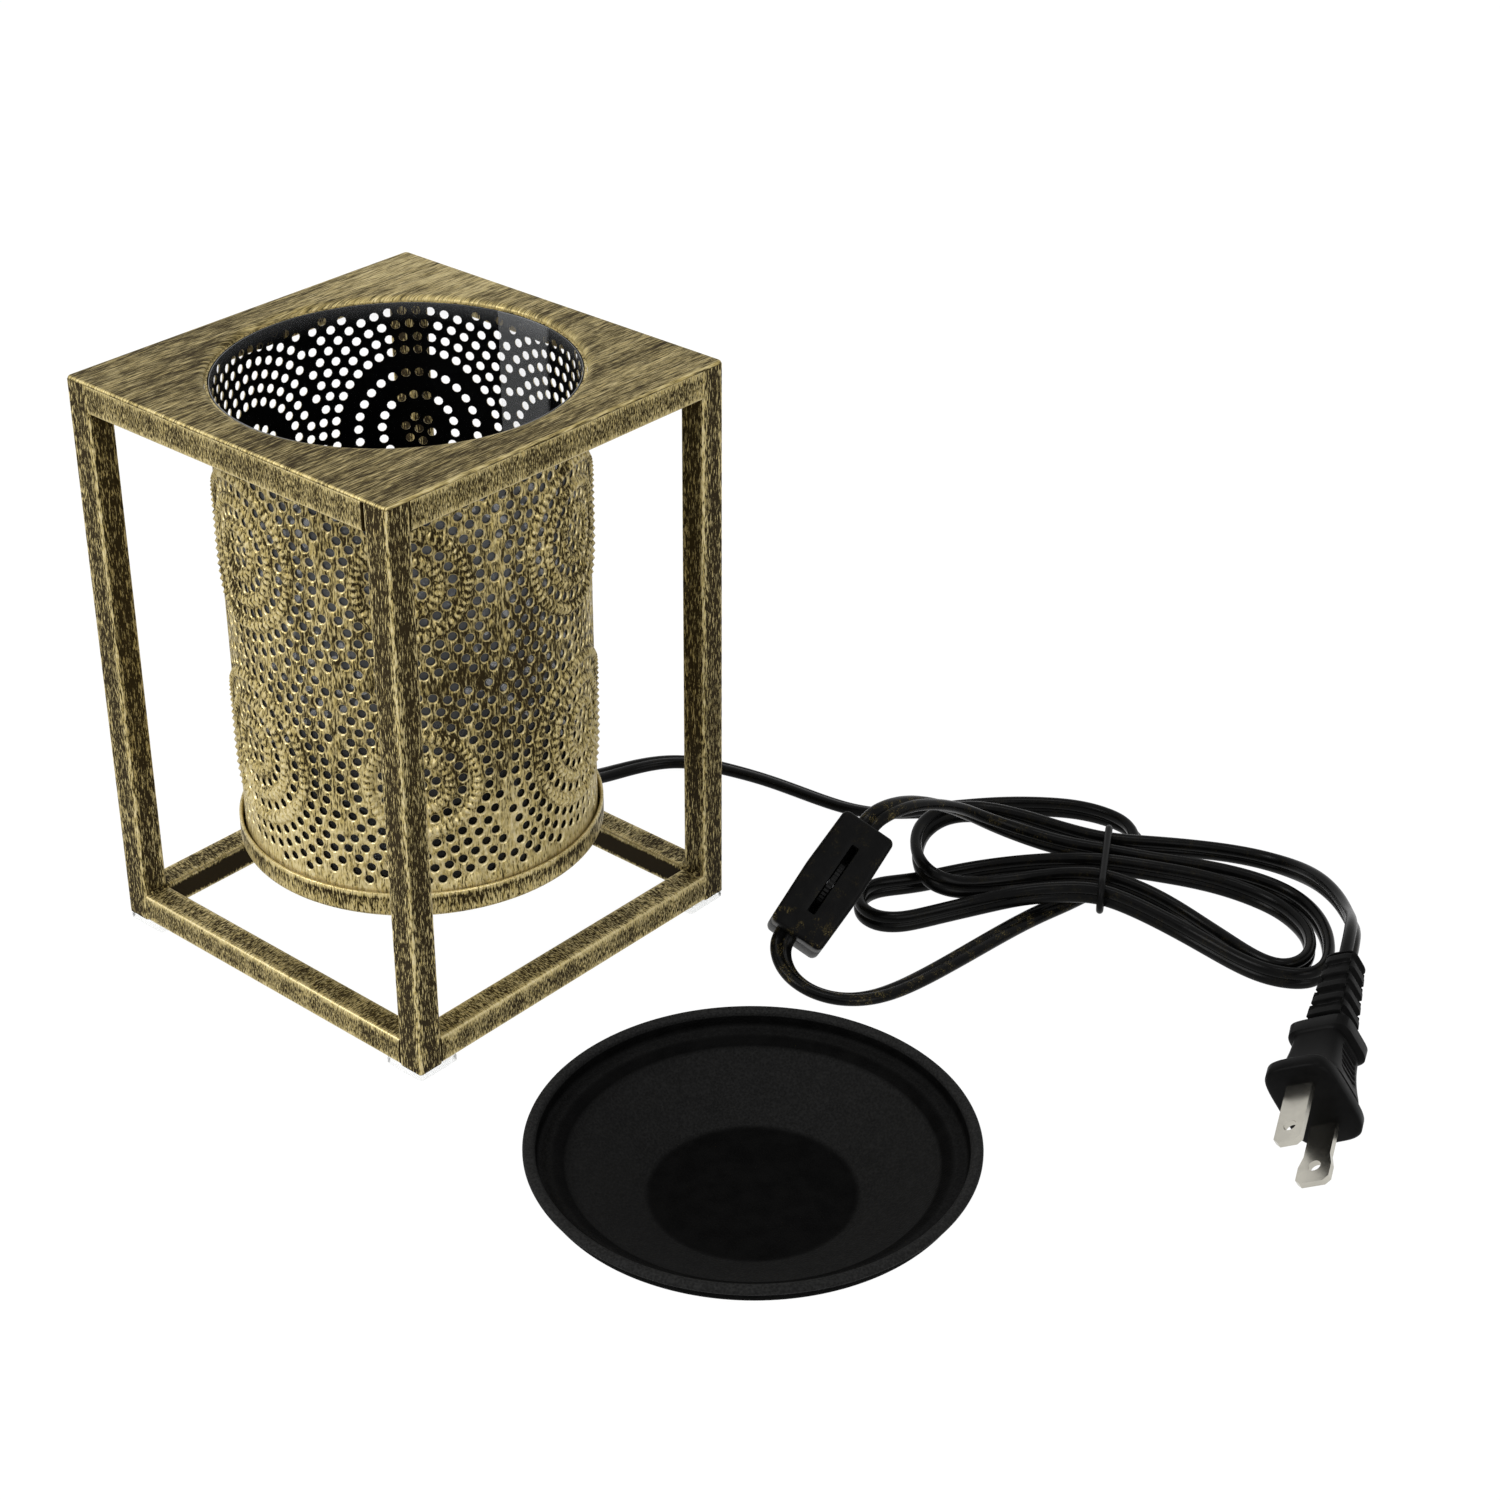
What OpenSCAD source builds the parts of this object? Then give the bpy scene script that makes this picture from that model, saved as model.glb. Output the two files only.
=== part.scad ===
// Electric wax warmer: square tube stand, pierced shade, twist-lock lamp, corded dimmer and a loose wax dish.
// Millimetres, +Z up. The origin is the middle of the stand's footprint, on the surface it stands on.

/* [Stand] */
// Outside width of the square stand
side = 105; // [85:0.5:130]
// Length of the posts, from the foot pads to the top plate
post_length = 143.3; // [115:0.1:175]
// Outside of the square tube
tube = 7; // [5.5:0.1:9]
// Wall of the square tube
tube_wall = 0.8; // [0.6:0.1:1.2]
// Side of a foot pad
pad_side = 12; // [9:0.5:15]
// Height of a foot pad
pad_height = 2; // [1.5:0.1:4]
// Thickness of the top plate
plate_thickness = 0.8; // [0.6:0.1:2]

/* [Shade] */
// Gap between the top rails and the shade, bridged by the hangers
hanger_length = 2.3; // [1.5:0.1:4]
// Width of a hanger
hanger_width = 8; // [5:0.5:12]
// Height of a hanger
hanger_height = 4; // [3:0.1:6]
// Sheet thickness of the shade
shade_wall = 0.6; // [0.4:0.1:1]
// Gap between the shade's top edge and the plate
shade_drop = 0.3; // [0.2:0.1:2]
// Radial gap between the shade and the hole in the plate
hole_gap = 1; // [0.5:0.1:2]
// Length of the shade's inward tabs
tab_length = 7; // [7:0.1:9]
// Width of the shade's inward tabs
tab_width = 8; // [7:0.1:10]
// Sheet thickness of the liner
liner_wall = 0.3; // [0.2:0.05:0.5]
// Radial gap between the liner and the shade
liner_gap = 0.3; // [0.2:0.05:0.6]

/* [Base pan] */
// Height of the pan's underside above the surface
pan_height = 26; // [22:0.5:32]
// Sheet thickness of the pan
pan_wall = 0.8; // [0.6:0.1:1.2]
// Height of the pan's rim above its floor
pan_rim = 5.7; // [4:0.1:8]
// Radial gap between the shade and the pan's rim
pan_gap = 0.6; // [0.3:0.1:1]

/* [Lamp bracket and holder] */
// Width of the bracket strip
strip_width = 20; // [20:0.5:26]
// Thickness of the bracket strip
strip_thickness = 1; // [0.8:0.1:1.5]
// Outside span of the bracket's uprights
bracket_span = 36; // [30:0.5:44]
// Height of the bracket's platform above the pan floor
bracket_height = 9; // [8:0.1:12]
// Length of a bracket foot
foot_length = 7; // [7:0.1:9]
// Radius of the lamp holder
holder_r = 13; // [12:0.1:15]
// Height of the lamp holder
holder_height = 16; // [14:0.1:20]
// Distance between the holder's screws
holder_screw_spacing = 13; // [12.5:0.1:13.6]

/* [Lamp] */
// Distance between the lamp's pins
pin_spacing = 10; // [9.8:0.1:10.4]
// Radius of a pin's shaft
pin_r = 1.25; // [1:0.05:1.3]
// Radius of a pin's head
pin_head_r = 2.5; // [2:0.05:2.6]
// Length of a pin, with its head
pin_length = 7.2; // [6.5:0.1:8]
// Height of a pin's head
pin_head = 2; // [1.5:0.1:2.5]
// Turn that locks the lamp, in degrees
lamp_turn = 20; // [15:1:25]
// Running gap between the lamp and its holder
lamp_gap = 0.3; // [0.2:0.05:0.5]
// Radius of the lamp's base
base_r = 11.5; // [10:0.1:12.5]
// Length of the lamp's base
base_length = 15; // [12:0.5:18]
// Radius of the lamp's reflector
lamp_r = 25; // [20:0.5:30]
// Length of the lamp from its base face to its lens
lamp_length = 44; // [38:0.5:54]
// Glass thickness of the reflector and the lens
glass = 1.2; // [1:0.1:2]

/* [Fasteners] */
// Radius of a screw's shaft
screw_r = 1.5; // [1.25:0.05:1.5]
// Radius of a screw's head
head_r = 2.75; // [2.3:0.05:2.75]
// Height of a screw's head
head_height = 1.6; // [1.2:0.1:2]
// Corner radius of a nut
nut_r = 3.1; // [2.6:0.05:3.1]
// Height of a nut
nut_height = 2.4; // [1.8:0.1:2.6]
// Gap around a screw in its hole
screw_gap = 0.2; // [0.1:0.05:0.3]

/* [Wax dish] */
// Height of the dish
dish_height = 16; // [14:0.5:20]
// Sheet thickness of the dish
dish_wall = 0.8; // [0.6:0.1:1]
// How far the dish's rim reaches past the plate's hole
dish_overlap = 5.5; // [4:0.1:7]
// Radial gap between the dish's step and the liner
dish_gap = 0.5; // [0.3:0.1:1.5]
// Height of the underside of the ledge that rests on the plate
ledge_height = 11.2; // [9:0.1:12]
// Radius of the dish's flat base
dish_base_r = 23; // [18:0.5:30]
// Distance between the stand's front and the dish, across the surface
dish_away = 34.2; // [20:0.1:60]
// Sideways place of the dish
dish_x = -33; // [-60:1:60]

/* [Dimmer] */
// Length of the dimmer
dimmer_length = 33; // [30:0.5:42]
// Width of the dimmer at its middle
dimmer_width = 15.5; // [14.5:0.1:20]
// Height of the dimmer
dimmer_height = 15; // [14.8:0.1:18]
// Depth of the dimmer's cover
cover_depth = 5.5; // [5:0.1:6]
// Wall of the dimmer
dimmer_wall = 1.3; // [1:0.1:1.4]
// How much narrower the dimmer's ends are, on each side
dimmer_taper = 0.5; // [0:0.1:0.6]
// Radius of the dimmer's wheel
wheel_r = 6.4; // [5.5:0.1:6.4]
// Thickness of the dimmer's wheel
wheel_width = 1.3; // [1:0.1:1.6]
// Number of ribs on the wheel
wheel_ribs = 36; // [24:1:48]
// Depth of a wheel rib
rib_depth = 0.3; // [0.2:0.05:0.5]
// How deep the wheel's rim lies under the cover's face
wheel_recess = 0.6; // [0.4:0.1:1]
// Gap on each side of the wheel in its slot
wheel_gap = 0.3; // [0.2:0.05:0.5]
// Length of the slot in the cover
slot_length = 19.5; // [14:0.5:24]
// Sideways place of the cord's hole in the dimmer's lower end
low_hole = 2; // [0:0.1:2]
// Sideways place of the cord's hole in the dimmer's upper end
upper_hole = 0.6; // [0:0.1:2]
// Radius of the wheel's axle
axle_r = 1; // [0.8:0.05:1.2]
// Radial running gap on the axle
axle_gap = 0.05; // [0.02:0.01:0.1]
// Radius of a dimmer screw
small_screw_r = 1.1; // [0.9:0.05:1.2]

/* [Cord] */
// Width of the flat cord
cord_width = 5.7; // [5:0.1:7.5]
// Thickness of the flat cord
cord_thickness = 2.8; // [2.5:0.1:4]
// Gap around the cord where it goes into the dimmer and the plug
cord_gap = 0.3; // [0.2:0.05:0.5]
// Radius of a lead wire
lead_r = 0.9; // [0.6:0.05:1]
// Radius of the bushing's flanges
bushing_r = 5.5; // [5:0.1:6.5]
// Radius of the bushing's neck, in the pan's hole
bushing_neck_r = 4.8; // [4:0.1:5]
// Thickness of the bushing's lower flange
bushing_low = 2; // [1.5:0.1:2.5]
// Thickness of the bushing's upper flange
bushing_top = 1.5; // [1:0.1:2]
// Radius of the tie's wire
tie_r = 0.9; // [0.6:0.05:1]

/* [Plug] */
// Width of the plug's flange
flange_width = 24; // [22:0.5:28]
// Height of the plug's flange
flange_height = 16.6; // [15:0.1:20]
// Thickness of the plug's flange
flange = 4; // [3:0.5:6]
// Length of the plug's waisted grip
grip_length = 14; // [12:0.5:20]
// Thickness of the collar behind the grip
collar = 4; // [3:0.5:6]
// Length of the strain relief
relief_length = 25; // [20:0.5:32]
// Number of ribs on the strain relief
relief_ribs = 8; // [5:1:10]
// Distance between the blades
blade_spacing = 12.7; // [12.5:0.1:12.9]
// Thickness of a blade
blade_thickness = 1.5; // [1.4:0.05:1.6]
// Width of the narrow blade
blade_width = 6.35; // [6.2:0.05:6.5]
// Width of the wide blade at its tip
wide_blade_width = 7.94; // [7.8:0.02:8]
// Length of a blade outside the plug
blade_length = 17.5; // [16:0.1:18]
// Depth of a blade inside the plug
blade_root = 6; // [4:0.5:8]
// Radius of the hole in a blade
blade_hole_r = 1.5; // [1.4:0.05:1.6]

/* [Hidden] */
$fn = 48;
post_top = pad_height + post_length;
plate_top = post_top + plate_thickness;
rail_length = side - 2 * tube;
corner = (side - tube) / 2;
shade_r = side / 2 - tube - hanger_length;
shade_in = shade_r - shade_wall;
shade_top = post_top - shade_drop;
hole_r = shade_r + hole_gap;
pan_top = pan_height + pan_wall;
pan_in = shade_r + pan_gap;
tab_top = pan_top + shade_wall;
tab_turns = [90, 210, 330];
liner_r = shade_in - liner_gap;
tab_hole_r = liner_r - liner_wall - nut_r - 0.4;
screw_hole_r = screw_r + screw_gap;
platform = pan_top + bracket_height;
foot_x = bracket_span / 2 + foot_length / 2;
holder_top = platform + holder_height;
holder_screw_y = holder_screw_spacing / 2;
sink = head_height + 1.4;
lamp_low = holder_top + lamp_gap;
base_top = lamp_low + base_length;
lamp_top = lamp_low + lamp_length;
lens_low = lamp_top - 2 * glass;
pin_x = pin_spacing / 2;
pocket_top = lamp_low - pin_length + pin_head + lamp_gap;
pocket_low = lamp_low - pin_length - 2 * lamp_gap;

step_r = liner_r - liner_wall - dish_gap;
step_drop = plate_thickness + shade_drop;
lip_r = hole_r - 0.7;
dish_r = hole_r + dish_overlap;
dish_wall_r = dish_r - 1.8;
dish_at = [dish_x, -side / 2 - dish_away - dish_r, 0];

dimmer_at = [48.5, -91.5, 23.5];
dimmer_turn = [34.1, -35, -1.9];
axle_depth = wheel_recess + wheel_r;
lug = 1.2;
lug_y = wheel_width / 2 + 0.55;
boss_r = small_screw_r + 1.4;
boss_at = [dimmer_length / 2 - dimmer_wall - boss_r - 0.6, -dimmer_width / 2 + dimmer_wall + boss_r - 0.6];
board_low = dimmer_height - dimmer_wall - 1.5;
board = [dimmer_length - 9, dimmer_width / 2 - dimmer_wall - dimmer_taper - lug_y - lug - 0.6, 1];
board_y = lug_y + lug + 0.4;

plug_at = [58.8, -220.2, 13.9];
plug_turn = [119, 10, 203];
collar_x = -flange - grip_length;
relief_x = collar_x - collar;
tail_x = relief_x - relief_length;

// Centre of the tie, its turn about Z, half its straight run, and the heights of its lower and upper runs
tie_at = [116, -124.85];
tie_turn = 31.1;
tie_half = 12;
tie_low = 4.3;
tie_high = 12.3;

// Cord routes: x, y and z of the centre line, and the tilt of the flat section in degrees
lamp_route = [
    [-8, 16, 24, 0], [-8, 16, 20.5, 0], [-6, 15.5, 15.5, 0], [0, 13.5, 12, 0], [9, 10.5, 11.5, 0], [20, 8.5, 11.5, 0],
    [36, 8, 11.8, 0], [48, 8, 13, 0], [57, 8.5, 10.6, 0], [65, 9, 4, 0], [76, 8, 2, 5], [86, 4, 2.2, 10],
    [94, -3, 2.4, 15], [97.7, -16, 2.6, 20], [100.1, -27.3, 2.7, 25], [101.2, -40.9, 2.7, 25], [102.4, -50, 2.6, 25], [104.6, -56.7, 2.6, 25],
    [108.3, -62.2, 2.6, 30], [113.6, -67.1, 2.8, 48], [119.4, -72.3, 3, 68], [125.6, -78, 3.1, 82], [132, -84.2, 3.1, 88], [137.6, -91, 3.1, 88],
    [142.4, -98.3, 3.1, 85], [144.6, -106.8, 3.1, 80], [144, -114.1, 3, 70], [140.1, -119.6, 2.5, 42], [133.2, -122.3, 1.8, 12], [124.9, -122.9, 1.6, 0],
    [115.2, -122.3, 1.6, 0], [105.5, -120.9, 1.6, 0], [95.7, -118.9, 1.8, -5], [85.2, -117.6, 1.9, -10], [72.9, -116.6, 2, -12], [60.8, -115.6, 2.1, -15],
    [49.5, -114.2, 2.2, -15], [40.4, -111.9, 2.5, -20], [34.1, -107.4, 2.9, -26], [30.2, -101.6, 4.1, -30], [29.6, -95.3, 5.4, -34], [31.3, -90.1, 7, -34],
    [34.6, -86.3, 9.4, -34], [38.3, -86.4, 12.1, -34]
];
// From the dimmer through the tie into the first right-hand loop
hank_start = [
    [63.3, -88.4, 28.6, -34], [67.8, -88.6, 31.8, -34], [78.4, -88.7, 30, -12], [86.6, -89.2, 27, 5], [94.9, -89.6, 22.5, 20], [101.4, -90.8, 18.5, 35],
    [106, -93.5, 15, 50], [110.3, -97.7, 12, 70], [113.9, -103.8, 10, 85], [117.1, -112, 8.9, 90], [122.2, -120.9, 8.3, 90]
];
// Outer loop on the right, and back through the tie
outer_right = [
    [126.6, -130.3, 7.8, 85], [132.2, -137.8, 7, 75], [137.4, -145.7, 6, 70], [141.7, -154.1, 4.6, 76], [143.4, -162.9, 3.4, 86], [140.8, -171.1, 3, 90],
    [135.7, -177.8, 3, 90], [129.2, -183.1, 3, 90], [122, -186.7, 3, 90], [116.1, -186.6, 3, 90], [112.2, -182.7, 3, 90], [109.9, -176.9, 3, 90],
    [109.6, -169.9, 3, 90], [110.5, -161.5, 3.2, 90], [110.6, -152.2, 4.3, 90], [108.8, -142.5, 6.6, 90], [106.5, -131.8, 8.3, 90]
];
// Lower fold on the left, and back through the tie
lower_left = [
    [103.1, -125.9, 8.2, 90], [98.5, -120.3, 7.8, 90], [92.3, -114.6, 7.3, 90], [86.7, -108.1, 4.8, 90], [79.6, -102.3, 3.3, 90], [73.7, -99.1, 3, 90],
    [68.8, -96.3, 3, 90], [65.8, -92.1, 3, 90], [65.9, -87.4, 3, 90], [68.6, -83.3, 3, 90], [73.3, -81.4, 3, 90], [78.1, -82.2, 3, 90],
    [82.5, -85.7, 3, 90], [86.9, -88.7, 3, 90], [89.9, -90.4, 3, 90], [96.9, -94.3, 3.2, 90], [103, -100.3, 4.4, 90], [108.5, -108, 6.2, 90],
    [113.3, -116.1, 7.8, 90], [118.3, -123.6, 8.3, 90]
];
// Inner loop on the right, on edge, and back through the tie
inner_right = [
    [123.1, -132.6, 7.8, 90], [128.7, -140.2, 6.6, 90], [133.8, -148.1, 5, 90], [136.7, -155.8, 3.6, 90], [137.1, -163.1, 3.1, 90], [135, -169.6, 3, 90],
    [131.7, -175.2, 3, 90], [126.8, -179.3, 3, 90], [121.4, -181.4, 3, 90], [116.4, -180.8, 3, 90], [113.1, -177.8, 3, 90], [112.9, -171.4, 3, 90],
    [115, -162.9, 3, 90], [116.7, -154.4, 3.2, 90], [117.2, -146, 4.5, 90], [115.2, -137.1, 7, 90], [112.4, -127.7, 8.3, 90]
];
// Upper loop on the left, over the first run, and back through the tie
upper_left = [
    [109, -121.7, 8, 90], [104.6, -115.4, 6.8, 85], [98.6, -109.5, 5.6, 70], [92.2, -104.4, 5.4, 58], [85.6, -100.4, 6.9, 58], [82.3, -95.5, 8.9, 72],
    [84.8, -89.6, 9.9, 90], [89.7, -84.9, 10.6, 105], [95.7, -81.8, 11.5, 120], [102, -81.7, 12.4, 135], [107.6, -83.5, 12.2, 145], [112.4, -86.8, 11.6, 140],
    [116.4, -92, 10.6, 120], [120.1, -99.3, 9.6, 100], [122.8, -107.9, 8.8, 90], [126.2, -118.1, 8.3, 90]
];
// Last run to the plug
hank_end = [
    [132.3, -126.4, 8.2, 85], [138.4, -133.7, 7.6, 78], [144.3, -141.1, 6.8, 72], [148.6, -149.6, 6.4, 75], [149.5, -159.5, 7, 80], [142.9, -171.2, 11.4, 82],
    [136.1, -180.9, 12.9, 78], [125.7, -189.5, 16, 70], [112.7, -197.3, 24.2, 61], [100, -202.7, 21.8, 61]
];
plug_route = concat(hank_start, outer_right, lower_left, inner_right, upper_left, hank_end);

// Lead wires follow the bushing, the pan and the holder
lead_z = [pan_top + bushing_top, platform + 2.7];
lead_y = [lamp_route[0].y, holder_r - 0.4];
function lead_route(x0, x1) = [
    [x0, lead_y[0], lead_z[0], 0], [x0, lead_y[0], lead_z[0] + 3, 0], [x0, lead_y[0] + 2, (lead_z[0] + lead_z[1]) / 2 + 1, 0],
    [x1, lead_y[1] + 4.5, lead_z[1] + 0.6, 0], [x1, lead_y[1] + 2, lead_z[1], 0], [x1, lead_y[1], lead_z[1], 0]
];

steel = [0.45, 0.4, 0.3];
black = [0.1, 0.1, 0.1];
zinc = [0.7, 0.7, 0.72];

// A smooth curve through the pull of a route's points, with n steps to a point
function blend(a, b, c, d, t) =
    (pow(1 - t, 3) * a + (3 * pow(t, 3) - 6 * t * t + 4) * b + (-3 * pow(t, 3) + 3 * t * t + 3 * t + 1) * c + pow(t, 3) * d) / 6;
function smooth(p, n) = let (e = len(p) - 1, q = concat([2 * p[0] - p[1]], p, [2 * p[e] - p[e - 1]]))
    concat([for (i = [0:e - 1], k = [0:n - 1]) blend(q[i], q[i + 1], q[i + 2], q[i + 3], k / n)], [p[e]]);
function place(v) = [v[0], v[1], v[2]];
function unit(v) = v / norm(v);

// One ring of a flat section across the route at step i
function section(w, t) = [for (k = [[1, 0.4], [0.6, 1], [-0.6, 1], [-1, 0.4], [-1, -0.4], [-0.6, -1], [0.6, -1], [1, -0.4]])
    [k[0] * w / 2, k[1] * t / 2]];
function ring(q, i, w, t) = let (
    d = unit(place(q[min(i + 1, len(q) - 1)]) - place(q[max(i - 1, 0)])),
    c = cross(d, [0, 0, 1]),
    s = norm(c) < 0.03 ? [0, -1, 0] : unit(c),
    u = cross(s, d),
    a = q[i][3],
    wide = cos(a) * s + sin(a) * u,
    thin = cos(a) * u - sin(a) * s)
    [for (p = section(w, t)) place(q[i]) + p[0] * wide + p[1] * thin];

module sweep(route, w, t, n) {
    q = smooth(route, n);
    m = 8;
    e = len(q) - 1;
    polyhedron(
        points = [for (i = [0:e]) each ring(q, i, w, t)],
        faces = concat(
            [for (i = [0:e - 1], k = [0:m - 1]) [i * m + k, i * m + (k + 1) % m, (i + 1) * m + k]],
            [for (i = [0:e - 1], k = [0:m - 1]) [i * m + (k + 1) % m, (i + 1) * m + (k + 1) % m, (i + 1) * m + k]],
            [for (k = [1:m - 2]) [0, k + 1, k]],
            [for (k = [1:m - 2]) [e * m, e * m + k, e * m + k + 1]]));
}

// Least gap of a flat cord to itself, or to another, between the boxes of its sections
function reach(p, w, t) = [abs(cos(p[3])) * w / 2 + abs(sin(p[3])) * t / 2, abs(sin(p[3])) * w / 2 + abs(cos(p[3])) * t / 2];
function box_gap(a, b, w, t) = let (ra = reach(a, w, t), rb = reach(b, w, t))
    max(norm([a[0] - b[0], a[1] - b[1]]) - ra[0] - rb[0], abs(a[2] - b[2]) - ra[1] - rb[1]);
function self_gap(q, w, t, skip) = min([for (i = [0:len(q) - 1], j = [i + skip:1:len(q) - 1]) box_gap(q[i], q[j], w, t)]);
function pair_gap(p, q, w, t) = min([for (a = p, b = q) box_gap(a, b, w, t)]);
echo(lamp_side_self_gap = self_gap(smooth(lamp_route, 3), cord_width, cord_thickness, 9));
echo(plug_side_self_gap = self_gap(smooth(plug_route, 3), cord_width, cord_thickness, 9));
echo(gap_between_cords = pair_gap(smooth(lamp_route, 3), smooth(plug_route, 3), cord_width, cord_thickness));

module rounded(w, h, r) {
    square([w - 2 * r, h], center = true);
    square([w, h - 2 * r], center = true);
    for (x = [-1, 1], y = [-1, 1]) translate([x * (w / 2 - r), y * (h / 2 - r)]) circle(r);
}

// A sketch in Y and Z, drawn out along X
module along_x(from, to) translate([from, 0, 0]) rotate([90, 0, 90]) linear_extrude(to - from) children();

module box_tube(length) linear_extrude(length) difference() {
    square(tube, center = true);
    square(tube - 2 * tube_wall, center = true);
}

module post(x, y) color(steel) translate([x * corner, y * corner, pad_height]) box_tube(post_length);
module pad(x, y) color([0.85, 0.85, 0.85]) translate([x * (side - pad_side) / 2 - pad_side / 2, y * (side - pad_side) / 2 - pad_side / 2, 0])
    cube([pad_side, pad_side, pad_height]);
module rail(turn, z) color(steel) rotate([0, 0, turn]) translate([-rail_length / 2, -corner, z + tube / 2]) rotate([90, 0, 90])
    box_tube(rail_length);

module post_front() post(-1, -1);
module post_right() post(1, -1);
module post_back() post(1, 1);
module post_left() post(-1, 1);
module pad_front() pad(-1, -1);
module pad_right() pad(1, -1);
module pad_back() pad(1, 1);
module pad_left() pad(-1, 1);
module rail_low_front() rail(0, pad_height);
module rail_low_right() rail(90, pad_height);
module rail_low_back() rail(180, pad_height);
module rail_low_left() rail(270, pad_height);
module rail_top_front() rail(0, post_top - tube);
module rail_top_right() rail(90, post_top - tube);
module rail_top_back() rail(180, post_top - tube);
module rail_top_left() rail(270, post_top - tube);

module top_plate() color(steel) translate([0, 0, post_top]) linear_extrude(plate_thickness) difference() {
    square(side, center = true);
    circle(hole_r, $fn = 96);
}

module shade() color(steel) {
    translate([0, 0, pan_top]) linear_extrude(shade_top - pan_top) difference() {
        circle(shade_r, $fn = 96);
        circle(shade_in, $fn = 96);
    }
    for (a = tab_turns) rotate([0, 0, a]) translate([0, 0, pan_top]) linear_extrude(shade_wall) difference() {
        translate([shade_in - tab_length, -tab_width / 2]) square([tab_length + shade_wall / 2, tab_width]);
        translate([tab_hole_r, 0]) circle(screw_hole_r);
    }
}

module shade_hangers() color(steel) for (a = [0, 90, 180, 270]) rotate([0, 0, a]) difference() {
    translate([shade_r - 1, -hanger_width / 2, post_top - tube / 2 - hanger_height / 2]) cube([hanger_length + 1, hanger_width, hanger_height]);
    translate([0, 0, pan_top]) cylinder(h = post_length, r = shade_r, $fn = 96);
}

module shade_liner() color([0.9, 0.9, 0.88, 0.5]) translate([0, 0, tab_top]) linear_extrude(shade_top - tab_top) difference() {
    circle(liner_r, $fn = 96);
    circle(liner_r - liner_wall, $fn = 96);
}

module base_pan() color(steel) difference() {
    translate([0, 0, pan_height]) cylinder(h = pan_wall + pan_rim, r = pan_in + pan_wall, $fn = 96);
    translate([0, 0, pan_top]) cylinder(h = pan_rim + 1, r = pan_in, $fn = 96);
    for (a = tab_turns) rotate([0, 0, a]) translate([tab_hole_r, 0, 0]) cylinder(h = pan_top + 1, r = screw_hole_r);
    for (x = [-1, 1]) translate([x * foot_x, 0, 0]) cylinder(h = pan_top + 1, r = screw_hole_r);
    translate([lamp_route[0].x, lamp_route[0].y, 0]) cylinder(h = pan_top + 1, r = bushing_neck_r);
}

// A screw whose head's seat is at z = 0 and that points up, and a nut on it
module screw(length) color(zinc) {
    translate([0, 0, -head_height]) cylinder(h = head_height, r = head_r);
    cylinder(h = length, r = screw_r);
}
module nut() color(zinc) linear_extrude(nut_height) difference() {
    circle(nut_r, $fn = 6);
    circle(screw_r + 0.05);
}

module pan_screws() for (a = tab_turns) rotate([0, 0, a]) translate([tab_hole_r, 0, pan_height]) screw(tab_top - pan_height + nut_height + 0.5);
module pan_nuts() for (a = tab_turns) rotate([0, 0, a]) translate([tab_hole_r, 0, tab_top]) nut();
module bracket_screws() for (x = [-1, 1]) translate([x * foot_x, 0, pan_height])
    screw(pan_wall + strip_thickness + nut_height + 0.5);
module bracket_nuts() for (x = [-1, 1]) translate([x * foot_x, 0, pan_top + strip_thickness]) nut();

module holder_bracket() color(zinc) difference() {
    rotate([90, 0, 0]) linear_extrude(strip_width, center = true) {
        translate([-bracket_span / 2, platform - strip_thickness]) square([bracket_span, strip_thickness]);
        for (x = [-1, 1]) translate([x * (bracket_span - strip_thickness) / 2, (pan_top + platform) / 2])
            square([strip_thickness, bracket_height], center = true);
        for (x = [-1, 1]) translate([x * foot_x, pan_top + strip_thickness / 2]) square([foot_length, strip_thickness], center = true);
    }
    for (x = [-1, 1]) translate([x * foot_x, 0, 0]) cylinder(h = pan_top + strip_thickness + 1, r = screw_hole_r);
    for (y = [-1, 1]) translate([0, y * holder_screw_y, platform - strip_thickness - 1]) cylinder(h = strip_thickness + 2, r = screw_hole_r);
}

// The way that a lamp pin of radius r takes, from where it goes in to where it locks
module pin_way(r, low, high) for (a = [0, 180]) rotate([0, 0, a]) translate([0, 0, low]) {
    rotate([0, 0, -lamp_turn]) rotate_extrude(angle = lamp_turn) translate([pin_x - 0.94 * r, 0]) square([1.88 * r, high - low]);
    for (b = [0, -lamp_turn]) rotate([0, 0, b]) translate([pin_x, 0, 0]) cylinder(h = high - low, r = r);
}

module lamp_holder() color([0.95, 0.94, 0.9]) difference() {
    translate([0, 0, platform]) cylinder(h = holder_height, r = holder_r);
    pin_way(pin_r + lamp_gap, pocket_low, holder_top + 1);
    pin_way(pin_head_r + lamp_gap, pocket_low, pocket_top);
    for (a = [0, 180]) rotate([0, 0, a - lamp_turn]) translate([pin_x, 0, pocket_low])
        cylinder(h = holder_top - pocket_low + 1, r = pin_head_r + lamp_gap);
    for (y = [-1, 1]) translate([0, y * holder_screw_y, platform - 1]) {
        cylinder(h = holder_height + 2, r = screw_hole_r);
        translate([0, 0, holder_height + 1 - sink]) cylinder(h = sink + 1, r = head_r + 0.3);
    }
}
module holder_screws() for (y = [-1, 1]) translate([0, y * holder_screw_y, holder_top - sink]) rotate([180, 0, 0])
    screw(holder_height - sink + strip_thickness + nut_height + 0.5);
module holder_nuts() for (y = [-1, 1]) translate([0, y * holder_screw_y, platform - strip_thickness - nut_height]) nut();

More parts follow.
